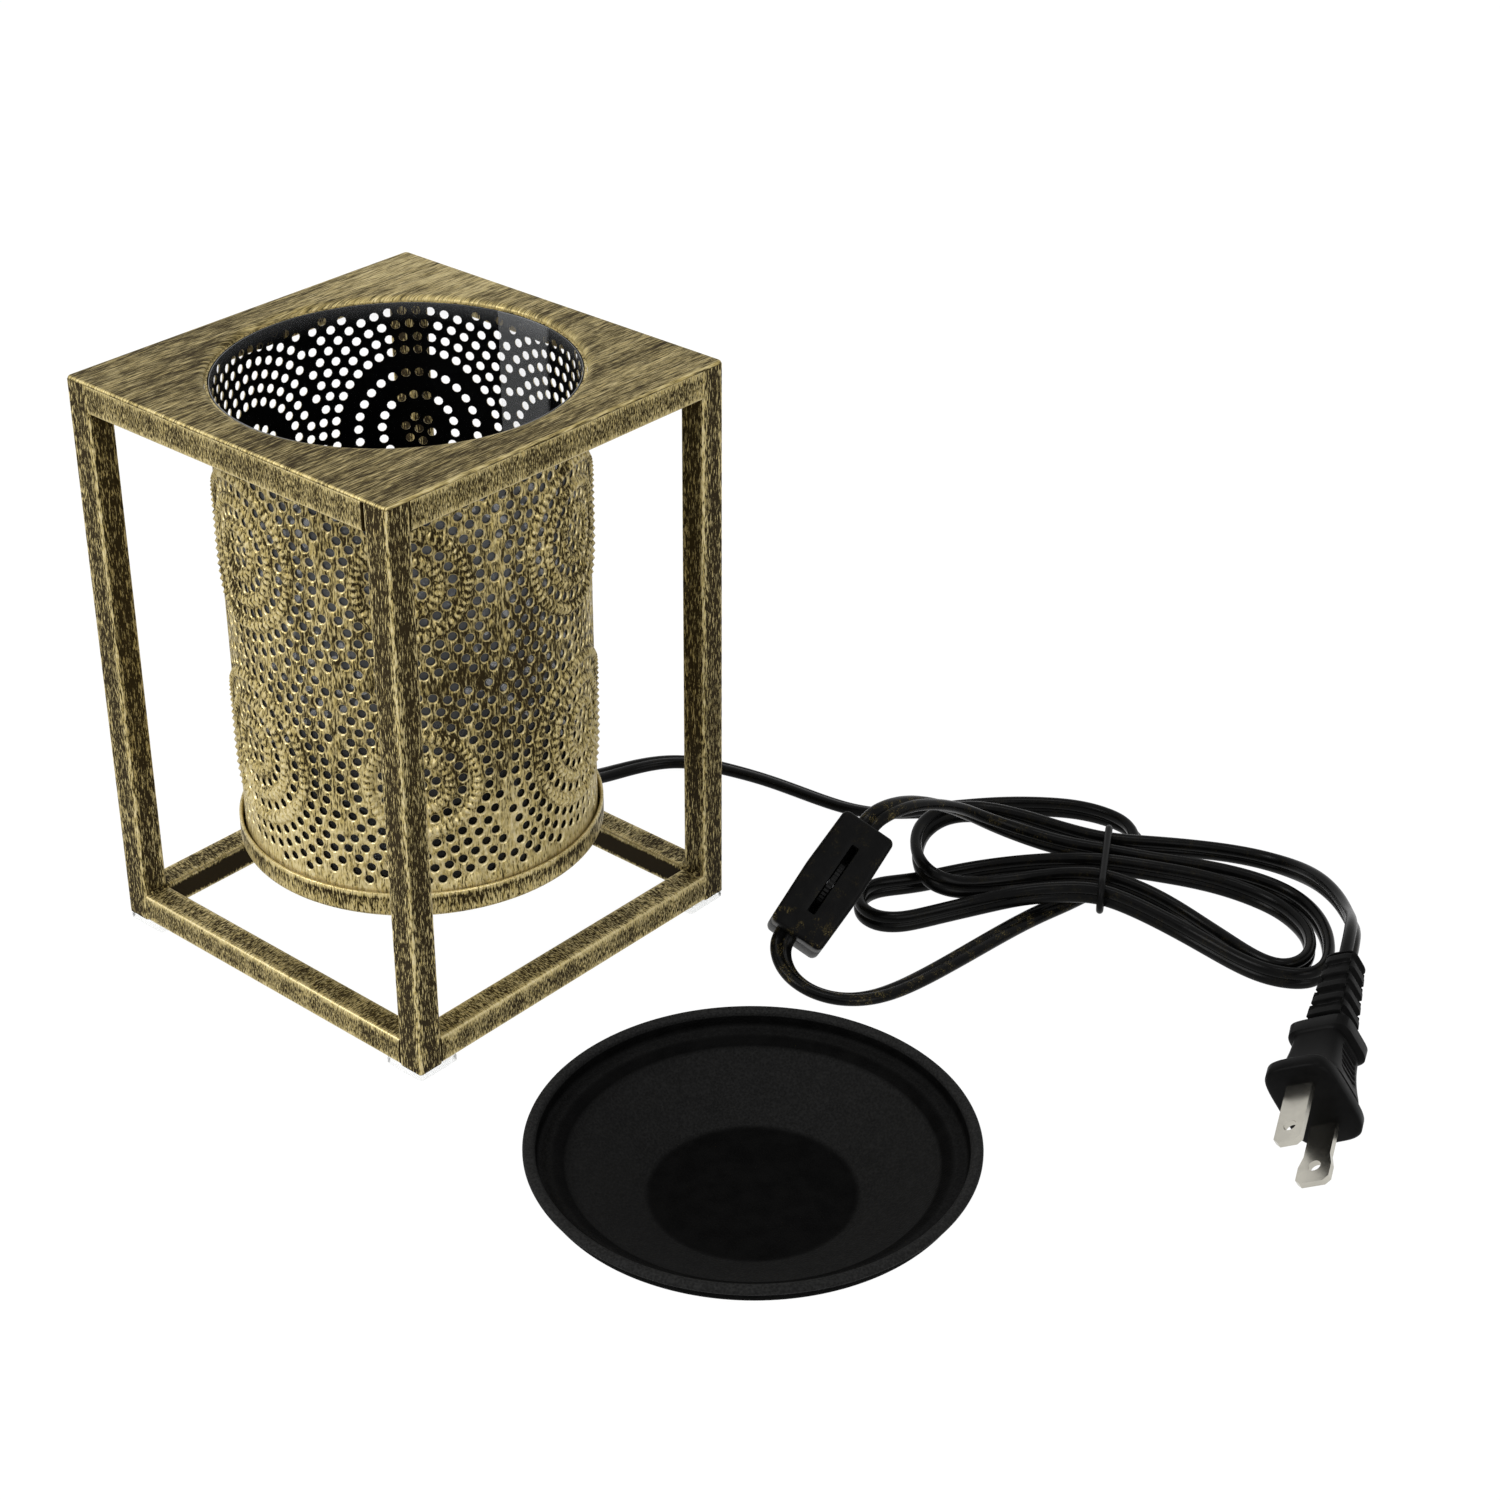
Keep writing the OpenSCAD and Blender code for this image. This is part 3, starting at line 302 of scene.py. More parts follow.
def turned(profile, count, centre=(0, 0), **marks):
    """A profile of radius and height turned about a vertical axis, closed at its two ends."""
    a = around(count)
    r, z = profile[:, 0, None], profile[:, 1, None]
    x, y = centre[0] + r * np.cos(a), centre[1] + r * np.sin(a)
    rings = np.stack([x, y, np.broadcast_to(z, x.shape)], -1)
    return lofted(rings, **{k: np.asarray(v)[:, None] for k, v in marks.items()})


def rounded_loop(half_x, half_y, radius, n_x, n_y, n_corner, kink=0.0):
    """A rounded oblong's outline, anticlockwise, with the same number of points on any size of it.

    Its corners are quarter circles, and its long sides bulge by kink at their middle.
    """
    t_x, t_y = np.linspace(-1, 1, n_x + 2)[1:-1], np.linspace(-1, 1, n_y + 2)[1:-1]
    q = np.linspace(0, QUARTER, n_corner)
    x, y = half_x - radius, half_y - radius
    arc = np.stack([np.cos(q), np.sin(q)], -1) * radius
    arcs = [arc @ np.linalg.matrix_power(np.array([[0, 1], [-1, 0]]), k) for k in range(4)]
    loop = np.concatenate([
        np.stack([np.full(n_y, half_x), t_y * y], -1), arcs[0] + (x, y),
        np.stack([-t_x * x, np.full(n_x, half_y)], -1), arcs[1] + (-x, y),
        np.stack([np.full(n_y, -half_x), -t_y * y], -1), arcs[2] + (-x, -y),
        np.stack([t_x * x, np.full(n_x, -half_y)], -1), arcs[3] + (x, -y),
    ])
    bulge = kink * np.clip(1 - np.abs(loop[:, 0]) / half_x, 0, 1) * (np.abs(loop[:, 1]) > y)
    loop[:, 1] += np.sign(loop[:, 1]) * bulge
    return loop


def in_place(part, at, turn):
    """A surface turned about X, then Y, then Z by degrees, and moved, like its CAD node."""
    rx, ry, rz = (Matrix.Rotation(math.radians(a), 3, k) for a, k in zip(turn, "XYZ"))
    part["points"] = part["points"] @ np.array(rz @ ry @ rx).T + np.asarray(at, float)
    return part


def make_piece(name, part, finishes, body, nodes=(), sharp=40):
    """Puts a surface into a mesh object that rides a body and stands for CAD nodes."""
    mesh = bpy.data.meshes.new(name)
    mesh.from_pydata((part["points"] * MM).tolist(), [], [f for a, _ in part["faces"] for f in a.tolist()])
    paint = np.concatenate([np.full(len(a), k, np.int32) for a, k in part["faces"]])
    mesh.polygons.foreach_set("material_index", paint)
    mesh.polygons.foreach_set("use_smooth", np.ones(len(mesh.polygons), bool))
    for label, values in part["marks"].items():
        mesh.attributes.new(label, "FLOAT", "POINT").data.foreach_set("value", values.astype(np.float32))
    for finish in finishes if isinstance(finishes, (list, tuple)) else [finishes]:
        mesh.materials.append(finish)
    mesh.update()
    mesh.set_sharp_from_angle(angle=math.radians(sharp))
    piece = bpy.data.objects.new(name, mesh)
    bpy.context.scene.collection.objects.link(piece)
    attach(piece, body)
    if nodes:
        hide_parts(*nodes)


def feed(tree, sockets, values):
    """Sets sockets to plain values, or links other nodes' sockets to them."""
    for k, v in values.items():
        if isinstance(v, bpy.types.NodeSocket):
            tree.links.new(v, sockets[k])
        else:
            sockets[k].default_value = v


def node(tree, kind, inputs=None, **settings):
    """A shader node with its settings. An input takes a plain value or another node's socket."""
    made = tree.nodes.new(kind)
    for k, v in settings.items():
        setattr(made, k, v)
    feed(tree, made.inputs, inputs or {})
    return made


def calc(tree, kind, a, b=0.0, c=0.0, clamp=False):
    """One step of arithmetic on values."""
    return node(tree, "ShaderNodeMath", {0: a, 1: b, 2: c}, operation=kind, use_clamp=clamp).outputs[0]


def swayed(tree, value, spread, base):
    """A base that a noise shifts up or down by at most half of spread."""
    return calc(tree, "MULTIPLY_ADD", calc(tree, "SUBTRACT", value, 0.5), spread, base)


def noise(tree, vector, scale, detail=3.0, rough=0.6):
    """Cloudy noise between 0 and 1."""
    given = {"Vector": vector, "Scale": scale, "Detail": detail, "Roughness": rough}
    return node(tree, "ShaderNodeTexNoise", given).outputs[0]


def ramp(tree, value, low, high, to_low=0.0, to_high=1.0, kind="SMOOTHSTEP"):
    """A value's range mapped to another, held at its ends."""
    given = {"Value": value, "From Min": low, "From Max": high, "To Min": to_low, "To Max": to_high}
    return node(tree, "ShaderNodeMapRange", given, interpolation_type=kind, clamp=True).outputs[0]


def colour(value):
    """A colour with its alpha."""
    return (*value[:3], 1)


def tint(tree, share, a, b):
    """A colour between two others."""
    a, b = (v if isinstance(v, bpy.types.NodeSocket) else colour(v) for v in (a, b))
    return node(tree, "ShaderNodeMix", {0: share, 6: a, 7: b}, data_type="RGBA").outputs[2]


def bumped(tree, height, strength, reach):
    """A normal tipped by a height that reaches so many metres."""
    return node(tree, "ShaderNodeBump", {"Height": height, "Strength": strength, "Distance": reach}).outputs[0]


def group(name, inputs, outputs):
    """An empty node group with named sockets: (name, kind, default) going in, (name, kind) coming out."""
    tree = bpy.data.node_groups.new(name, "ShaderNodeTree")
    for label, kind, default in inputs:
        socket = tree.interface.new_socket(label, in_out="INPUT", socket_type="NodeSocket" + kind)
        if default is not None:
            socket.default_value = default
    for label, kind in outputs:
        tree.interface.new_socket(label, in_out="OUTPUT", socket_type="NodeSocket" + kind)
    return tree, node(tree, "NodeGroupInput").outputs, node(tree, "NodeGroupOutput").inputs


def brushed_gilding():
    """Gold paint dragged over black.

    Fine, coarse and patchy noise add up, edges gain gold and recesses lose it, and a soft threshold parts gold
    from black. The thickest gold is painted paler: a painted highlight.
    """
    tree, given, out = group(
        "brushed_gilding",
        [("Vector", "Vector", None), ("Edge", "Float", 0.0), ("Recess", "Float", 0.0), ("Coverage", "Float", 0.5),
         ("Softness", "Float", 0.08), ("Contrast", "Float", 1.4), ("Patches", "Float", 0.35),
         ("Gold", "Color", (0.4, 0.33, 0.16, 1)), ("Undercoat", "Color", (0.012, 0.01, 0.006, 1))],
        [("Color", "Color"), ("Gilding", "Float"), ("Roughness", "Float"), ("Height", "Float")],
    )
    vector, contrast = given["Vector"], given["Contrast"]
    fine = noise(tree, vector, 1.0, 2.0, 0.7)
    coarse = noise(tree, vector, 0.36, 2.0, 0.55)
    patch = noise(tree, vector, 0.055, 2.0, 0.5)
    level = swayed(tree, fine, contrast, given["Coverage"])
    level = swayed(tree, coarse, calc(tree, "MULTIPLY", contrast, 0.16), level)
    level = swayed(tree, patch, given["Patches"], level)
    level = calc(tree, "MULTIPLY_ADD", given["Edge"], 0.45, level)
    level = calc(tree, "MULTIPLY_ADD", given["Recess"], -0.3, level)
    low, high = (calc(tree, kind, 0.5, given["Softness"]) for kind in ("SUBTRACT", "ADD"))
    gilt = ramp(tree, level, low, high)
    tone = ramp(tree, noise(tree, vector, 0.6, 2.0, 0.5), 0.3, 0.7)
    pale = tint(tree, tone, given["Gold"], tint(tree, 0.25, given["Gold"], (0.75, 0.68, 0.45)))
    # Painted highlight: the thickest gold is mixed paler
    pale = tint(tree, ramp(tree, level, 0.62, 1.1, 0.0, 0.6), pale, (0.8, 0.71, 0.46))
    feed(tree, out, {
        "Color": tint(tree, gilt, given["Undercoat"], pale),
        "Gilding": gilt,
        "Roughness": ramp(tree, gilt, 0, 1, 0.58, 0.3, "LINEAR"),
        "Height": calc(tree, "ADD", calc(tree, "MULTIPLY", gilt, 0.6), calc(tree, "MULTIPLY", fine, 0.4)),
    })
    return tree


def moulded_grain():
    """The skin of moulded plastic or a sprayed coating.

    Small cells and fine noise give a height, and cloudy noise a spread of gloss and a faint spread of tone.
    """
    tree, given, out = group(
        "moulded_grain",
        [("Vector", "Vector", None), ("Scale", "Float", 2000.0), ("Roughness", "Float", 0.4),
         ("Spread", "Float", 0.1), ("Color", "Color", (0.005, 0.005, 0.005, 1))],
        [("Color", "Color"), ("Roughness", "Float"), ("Height", "Float")],
    )
    vector, scale = given["Vector"], given["Scale"]
    cells = node(tree, "ShaderNodeTexVoronoi", {"Vector": vector, "Scale": scale}, feature="SMOOTH_F1")
    cloud = noise(tree, vector, calc(tree, "MULTIPLY", scale, 0.11), 4.0, 0.6)
    fine = calc(tree, "MULTIPLY", noise(tree, vector, scale, 2.0, 0.5), 0.5)
    greyer = tint(tree, 0.012, given["Color"], (0.12, 0.12, 0.115))
    feed(tree, out, {
        "Height": calc(tree, "ADD", calc(tree, "MULTIPLY", cells.outputs["Distance"], 0.6), fine),
        "Roughness": swayed(tree, cloud, given["Spread"], given["Roughness"]),
        "Color": tint(tree, ramp(tree, cloud, 0.3, 0.7), given["Color"], greyer),
    })
    return tree


def gold_scuffs():
    """Rub marks of gold paint: a coarse and a fine noise that both have to be high."""
    tree, given, out = group(
        "gold_scuffs", [("Vector", "Vector", None), ("Amount", "Float", 0.2)], [("Scuff", "Float")])
    coarse = ramp(tree, noise(tree, given["Vector"], 300.0, 3.0, 0.6), 0.48, 0.66)
    fine = ramp(tree, noise(tree, given["Vector"], 2600.0, 3.0, 0.7), 0.48, 0.66)
    both = calc(tree, "MULTIPLY", coarse, fine)
    feed(tree, out, {"Scuff": calc(tree, "MULTIPLY", both, given["Amount"], clamp=True)})
    return tree


def placed_group(tree, build, inputs):
    """A node group set into a material, and made if it is not there yet."""
    found = bpy.data.node_groups.get(build.__name__) or build()
    return node(tree, "ShaderNodeGroup", inputs, node_tree=found).outputs


def blank(name):
    """A material with a Principled shader, and its node tree."""
    made = bpy.data.materials.new(name)
    made.use_nodes = True
    return made, made.node_tree, made.node_tree.nodes["Principled BSDF"]


def made_once(build):
    """A maker of finishes that gives back the finish of the same name once there is one."""

    def finish(name, *values, **more):
        return bpy.data.materials.get(name) or build(name, *values, **more)

    return finish


def own_place(tree, scale=(1, 1, 1)):
    """The piece's own coordinates, stretched."""
    coordinates = node(tree, "ShaderNodeTexCoord").outputs["Object"]
    return node(tree, "ShaderNodeMapping", {"Vector": coordinates, "Scale": scale}).outputs[0]


def mark(tree, name):
    """A value marked on the piece's points."""
    return node(tree, "ShaderNodeAttribute", attribute_name=name).outputs["Fac"]


@made_once
def gilded(name, stretch, coverage, softness, contrast, patches, bump=0.25):
    """Dry-brushed gold over black. stretch is the strokes' fineness along each axis, per metre."""
    look = bpy.context.scene.warmer_finish
    made, tree, shader = blank(name)
    gilt = placed_group(tree, brushed_gilding, {
        "Vector": own_place(tree, stretch), "Edge": mark(tree, "edge"), "Recess": mark(tree, "recess"),
        "Coverage": coverage, "Softness": softness, "Contrast": contrast, "Patches": patches,
        "Gold": colour(look.gold), "Undercoat": colour(look.undercoat)})
    feed(tree, shader.inputs, {
        "Base Color": gilt["Color"],
        "Metallic": calc(tree, "MULTIPLY", gilt["Gilding"], 0.45),
        "Roughness": gilt["Roughness"],
        "Specular IOR Level": 0.05,
        "Normal": bumped(tree, gilt["Height"], bump, 0.0002),
    })
    return made


@made_once
def moulded(name, tone, scale, rough, spread, bump, specular, scuffs=0.0, dust=0.0):
    """Black moulded plastic or coating.

    Gold paint is rubbed on where scuffs is above 0, and where its last argument is above 0 it is greyed in specks along
    a mark: a painted highlight for the light the surface catches.
    """
    made, tree, shader = blank(name)
    place = own_place(tree)
    skin = placed_group(tree, moulded_grain, {
        "Vector": place, "Scale": scale, "Roughness": rough, "Spread": spread, "Color": colour(tone)})
    shown = skin["Color"]
    if scuffs:
        amount = calc(tree, "MULTIPLY_ADD", mark(tree, "rub"), scuffs, 0.12 * scuffs)
        rubbed = placed_group(tree, gold_scuffs, {"Vector": place, "Amount": amount})
        shown = tint(tree, rubbed["Scuff"], shown, bpy.context.scene.warmer_finish.gold)
    if dust:
        speckled = ramp(tree, skin["Height"], 0.3, 0.75, 0.65 * dust, 1.4 * dust)
        shown = tint(tree, calc(tree, "MULTIPLY", mark(tree, "dust"), speckled), shown, (0.1, 0.1, 0.098))
    feed(tree, shader.inputs, {
        "Base Color": shown,
        "Roughness": skin["Roughness"],
        "Specular IOR Level": specular,
        "Normal": bumped(tree, skin["Height"], min(bump, 1.0), 0.0001 * max(bump, 1.0)),
    })
    return made


@made_once
def plated(name, tone, stretch, rough, worn=0.6):
    """Bare or plated metal with a fine directional grain, and duller clouds worn into it."""
    made, tree, shader = blank(name)
    grain = noise(tree, own_place(tree, stretch), 1.0, 4.0, 0.6)
    cloud = noise(tree, own_place(tree), 180.0, 3.0, 0.5)
    dull = tuple(worn * c for c in tone)
    feed(tree, shader.inputs, {
        "Base Color": tint(tree, ramp(tree, cloud, 0.3, 0.75), tone, dull),
        "Roughness": swayed(tree, grain, 0.12, rough),
        "Metallic": 1.0,
        "Normal": bumped(tree, grain, 0.1, 0.00005),
    })
    return made


@made_once
def clear(name, tone, rough, index, weight, haze=0.1):
    """Clear plastic or glass whose gloss is a little uneven."""
    made, tree, shader = blank(name)
    cloud = noise(tree, own_place(tree), 90.0)
    dull = tuple(0.93 * c for c in tone)
    feed(tree, shader.inputs, {
        "Roughness": ramp(tree, cloud, 0.3, 0.8, rough, rough + haze),
        "Base Color": tint(tree, ramp(tree, cloud, 0.4, 0.9), tone, dull),
        "Transmission Weight": weight,
        "IOR": index,
    })
    return made


@made_once
def filmy(name, tone, bare, painted_shade):
    """Thin clear film, marked on its outer skin.

    Seen from outside, its outer skin is a dark veil, a painted shade over the holes. The veil grows paler upward,
    a painted reflection, and paler again at grazing angles, a painted reflection too. Its overlap and top edge
    carry a painted glint. Seen from inside it is almost clear.
    """
    made, tree, shader = blank(name)
    pale = tint(tree, noise(tree, own_place(tree), 90.0), tone, tuple(0.8 * c for c in tone))
    # Painted reflection: the outer skin is paler upward, and paler again at grazing angles
    shaded = tint(tree, mark(tree, "sky"), (0.004, 0.004, 0.004), pale)
    front = calc(tree, "SUBTRACT", 1.0, node(tree, "ShaderNodeNewGeometry").outputs["Backfacing"])
    facing = node(tree, "ShaderNodeLayerWeight", {"Blend": 0.5}).outputs["Facing"]
    grazing_reflection = calc(tree, "MULTIPLY_ADD", calc(tree, "POWER", facing, 5.0), 0.1, bare)
    # Painted shade: a dark veil on the outer skin, seen from outside, that darkens the holes
    shown = calc(tree, "MULTIPLY_ADD", calc(tree, "MULTIPLY", mark(tree, "skin"), front), painted_shade, grazing_reflection)
    feed(tree, shader.inputs, {
        # Painted glint along the overlap and the top edge
        "Base Color": tint(tree, mark(tree, "seam"), shaded, (0.45, 0.46, 0.47)),
        "Roughness": 0.25,
        "Specular IOR Level": 0.1,
        "Alpha": calc(tree, "MULTIPLY_ADD", mark(tree, "seam"), 0.16, shown, clamp=True),
    })
    return made


def finish_nodes(finish, *names):
    """Gives CAD nodes that stay in view their finish."""
    for name in names:
        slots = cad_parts[name].data.materials
        slots.clear()
        slots.append(finish)


def gilded_posts():
    """Strokes along the posts."""
    return gilded("gilded_posts", (3900, 3900, 520), coverage=0.21, softness=0.15, contrast=3.0, patches=0.35)


def gilded_rail(axis):
    """Strokes across a rail that runs along an axis."""
    stretch = (4200, 800, 800) if axis == "x" else (800, 4200, 800)
    return gilded("gilded_across_" + axis, stretch, coverage=0.39, softness=0.2, contrast=2.2, patches=0.45)


def black_plastic():
    """The plug's and the bushing's plastic."""
    tone = bpy.context.scene.warmer_finish.plastic
    return moulded("black_plastic", tone, scale=3500, rough=0.42, spread=0.12, bump=0.12, specular=0.04)


class WARMER_OT_stage(bpy.types.Operator):
    """Camera, pale floor, white surroundings and soft studio light"""

    bl_idname = "warmer.stage"
    bl_label = "Stage"

    def execute(self, context):
        scene = context.scene
        scene.view_settings.view_transform = "Standard"
        lens = bpy.data.cameras.new("photo_camera")
        lens.sensor_width, lens.lens = 36.0, FOCAL_LENGTH
        lens.clip_start, lens.clip_end = 0.01, 20
        camera = bpy.data.objects.new("photo_camera", lens)
        turn = Matrix((Vector(CAMERA_RIGHT), -Vector(CAMERA_DOWN), -Vector(CAMERA_AHEAD))).transposed()
        camera.matrix_world = Matrix.Translation(Vector(CAMERA_AT) * MM) @ turn.to_4x4()
        scene.collection.objects.link(camera)
        scene.camera = camera
        self.floor(scene)
        self.surroundings(scene)
        for lamp in LAMPS:
            self.lamp(scene, *lamp)
        return {"FINISHED"}

    def seen(self, tree):
        """1 for rays from the camera, from gloss and through glass, else 0."""
        path = node(tree, "ShaderNodeLightPath").outputs
        gloss = calc(tree, "MAXIMUM", path["Is Glossy Ray"], path["Is Transmission Ray"])
        return calc(tree, "MAXIMUM", path["Is Camera Ray"], gloss)

    def floor(self, scene):
        """A wide disc: rings out from the middle, with quads between them."""
        rows, cols = 12, 96
        a, r = around(cols), np.linspace(0.5, 3000, rows)[:, None]
        rings = np.stack([r * np.cos(a), r * np.sin(a), np.zeros((rows, cols))], -1)
        c, k = np.arange(rows - 1)[:, None] * cols, np.arange(cols)[None]
        beside = (k + 1) % cols
        quads = np.stack([c + k, c + cols + k, c + cols + beside, c + beside], -1).reshape(-1, 4)
        mesh = bpy.data.meshes.new("floor")
        mesh.from_pydata((rings.reshape(-1, 3) * MM).tolist(), [], quads.tolist())
        disc = bpy.data.objects.new("floor", mesh)
        scene.collection.objects.link(disc)
        made, tree, shader = blank("pale_floor")
        feed(tree, shader.inputs, {
            "Base Color": tint(tree, noise(tree, own_place(tree), 60.0), (0.93, 0.93, 0.93), (0.95, 0.95, 0.95)),
            "Roughness": 0.9,
            "Specular IOR Level": 0.0,
        })
        glow = node(tree, "ShaderNodeEmission", {"Color": (1, 1, 1, 1), "Strength": FLOOR_GLOW})
        share = calc(tree, "MULTIPLY", self.seen(tree), FLOOR_SHARE)
        lit = node(tree, "ShaderNodeMixShader", {0: share, 1: shader.outputs[0], 2: glow.outputs[0]})
        tree.links.new(lit.outputs[0], tree.nodes["Material Output"].inputs[0])
        mesh.materials.append(made)

    def surroundings(self, scene):
        """White where they are seen, and a softer white as a light."""
        world = bpy.data.worlds.new("white_surroundings")
        scene.world = world
        world.use_nodes = True
        tree = world.node_tree
        strength = ramp(tree, self.seen(tree), 0, 1, SOFT_LIGHT, 1.0, "LINEAR")
        feed(tree, tree.nodes["Background"].inputs, {"Color": (1, 1, 1, 1), "Strength": strength})

    def lamp(self, scene, name, at, size, power):
        """A round soft lamp aimed at the warmer."""
        light = bpy.data.lights.new(name, "AREA")
        light.shape, light.size, light.energy = "DISK", size, power
        lamp = bpy.data.objects.new(name, light)
        aim = (Vector(LAMP_AIM) - Vector(at)).to_track_quat("-Z", "Y")
        lamp.matrix_world = Matrix.Translation(at) @ aim.to_matrix().to_4x4()
        scene.collection.objects.link(lamp)


def route_line(route):
    """The route's uniform cubic B-spline, its end points doubled outwards: rows of x, y, z and tilt."""
    p = np.asarray(route, float)
    q = np.concatenate([2 * p[:1] - p[1:2], p, 2 * p[-1:] - p[-2:-1]])
    t = (np.arange(ROUTE_STEPS) / ROUTE_STEPS)[None, :, None]
    a, b, c, d = (q[k : k + len(p) - 1, None] for k in range(4))
    near_b, near_c = 3 * t**3 - 6 * t * t + 4, -3 * t**3 + 3 * t * t + 3 * t + 1
    line = ((1 - t) ** 3 * a + near_b * b + near_c * c + t**3 * d) / 6
    return np.concatenate([line.reshape(-1, 4), p[-1:]])


def twin_section(width, thickness, groove):
    """Outline of a flat twin cord: a half circle at each edge, and faces that dip into a groove between them.

    The groove is a bell curve, and each face swells a little over its conductor, as a cosine.
    """
    r, c = thickness / 2, (width - thickness) / 2
    q = np.linspace(-QUARTER, QUARTER, 11)
    x = np.array([0.85, 0.6, 0.38, 0.2, 0.08, 0, -0.08, -0.2, -0.38, -0.6, -0.85]) * c
    face = np.stack([x, r - groove * np.exp(-((x / (0.24 * c)) ** 2)) - 0.06 * np.cos(np.pi * x / c)], -1)
    side = np.stack([c + r * np.cos(q), r * np.sin(q)], -1)
    return np.concatenate([side, face, -side, -face])


def flat_cord(line, section, rub):
    """The section carried along a line: its wide way lies level across the line, then tilts about it."""
    at, tilt = line[:, :3], np.radians(line[:, 3:4])
    ahead = np.gradient(at, axis=0)
    ahead /= np.linalg.norm(ahead, axis=1, keepdims=True)
    across = np.cross(ahead, (0, 0, 1.0))
    size = np.linalg.norm(across, axis=1, keepdims=True)
    across = np.where(size < 0.03, (0, -1.0, 0), across / np.maximum(size, 1e-9))
    up = np.cross(across, ahead)
    wide = np.cos(tilt) * across + np.sin(tilt) * up
    thin = np.cos(tilt) * up - np.sin(tilt) * across
    rings = at[:, None] + section[None, :, :1] * wide[:, None] + section[None, :, 1:] * thin[:, None]
    return lofted(rings, rub=rub[:, None])


class WARMER_OT_cords(bpy.types.Operator):
    """Flat twin cord in two lengths: from the pan to the dimmer, and from there through the hank to the plug"""

    bl_idname = "warmer.cords"
    bl_label = "Cords"

    def execute(self, context):
        size, look = context.scene.warmer_cord, context.scene.warmer_finish
        section = twin_section(size.width / MM, size.thickness / MM, size.groove / MM)
        vinyl = moulded("cord_vinyl", look.plastic, 2600, rough=0.26, spread=0.12, bump=0.1, specular=0.06, scuffs=0.22)
        for name, stands_for, route, clean, rubbed in (
            ("lamp_cord", "cord_lamp_side", LAMP_ROUTE, 0.6, 0.8),
            ("plug_cord", "cord_plug_side", PLUG_ROUTE, 0.13, 0.03),
        ):
            line = route_line(route)
            rub = np.clip((np.linspace(0, 1, len(line)) - clean) / (rubbed - clean), 0, 1)
            make_piece(name, flat_cord(line, section, rub), vinyl, "stand", [stands_for])
        tie = moulded("tie_vinyl", look.plastic, 3000, rough=0.4, spread=0.1, bump=0.1, specular=0.06)
        finish_nodes(tie, "cord_tie")
        finish_nodes(black_plastic(), "cord_bushing")
        return {"FINISHED"}


def square_tube(axis, low, high, centre, half, radii, bare=()):
    """A square tube along one axis, closed at its ends: its section's corners are quarter circles.

    Edge is high on a corner and falls to 0 on the faces. Recess is high on the section's points in bare, so that
    their face stays black.
    """
    q = np.linspace(0, QUARTER, 6)
    signs = np.array([(1, 1), (-1, 1), (-1, -1), (1, -1)], float)
    beyond = lambda k: np.array([[-np.sin(k * np.pi / 2), np.cos(k * np.pi / 2)]]) * 1.2
    outline, edge = [], []
    for k, (sign, r) in enumerate(zip(signs, radii)):
        a = q + k * np.pi / 2
        arc = np.stack([np.cos(a), np.sin(a)], -1) * r + sign * (half - r)
        outline += [arc[:1] - beyond(k), arc, arc[-1:] + beyond(k + 1)]
        edge += [[0.0], EDGE_GOLD, [0.0]]
    outline, edge = np.concatenate(outline), np.concatenate(edge)
    along = np.concatenate([[low, low + 0.1], np.linspace(low, high, 9)[1:]])
    a, b = {"x": (1, 2), "y": (2, 0), "z": (0, 1)}[axis]
    rings = np.zeros((len(along), len(outline), 3))
    rings[..., "xyz".index(axis)] = along[:, None]
    rings[..., a], rings[..., b] = centre[0] + outline[:, 0], centre[1] + outline[:, 1]
    recess = np.zeros((len(along), len(outline)))
    recess[0] = BARE
    recess[:, list(bare)] = BARE
    return lofted(rings, edge=edge, recess=recess)


class WARMER_OT_tubes(bpy.types.Operator):
    """Posts and rails of the stand, as square tube with rounded edges"""

    bl_idname = "warmer.tubes"
    bl_label = "Posts and rails"

    def execute(self, context):
        size = context.scene.warmer_stand
        r = size.corner / MM
        for name in POSTS:
            low, high = node_box(name)
            tube = square_tube("z", low[2], high[2], ((low + high) / 2)[:2], (high - low)[0] / 2, (r,) * 4)
            make_piece(name + "_tube", tube, gilded_posts(), "stand", [name])
        for level in ("low", "top"):
            for side, bare in BARE_FACES.items():
                self.rail(f"rail_{level}_{side}", r, size.slit / MM, level == "top", bare)
        return {"FINISHED"}

    def rail(self, name, r, slit, top, bare):
        """A rail between two posts. A top rail is all but sharp along the plate, and gilded all round.

        A section's corners go (+,+), (-,+), (-,-), (+,-) in its own two axes.
        """
        low, high = node_box(name)
        mid, half = (low + high) / 2, (high - low)[2] / 2
        flush, bare = (0.12, ()) if top else (r, bare)
        if name.endswith(("front", "back")):
            axis = "x"
            tube = square_tube(axis, low[0], high[0], mid[1:], half, (flush, flush, r, r), bare)
        else:
            axis = "y"
            start = low[1] + (slit if name == "rail_top_left" else 0)
            tube = square_tube(axis, start, high[1], (mid[2], mid[0]), half, (flush, r, r, flush), bare)
        make_piece(name + "_tube", tube, gilded_rail(axis), "stand", [name])


def square_outline(angles, half, radius):
    """Where rays from the middle meet a square with rounded corners."""
    c, s = np.cos(angles), np.sin(angles)
    p = half / np.maximum(np.abs(c), np.abs(s))
    p = np.stack([p * c, p * s], -1)
    core = np.sign(p) * (half - radius)
    off = p - core
    outside = (np.abs(p) > half - radius).all(-1, keepdims=True)
    return np.where(outside, core + off / np.maximum(np.linalg.norm(off, axis=-1, keepdims=True), 1e-9) * radius, p)


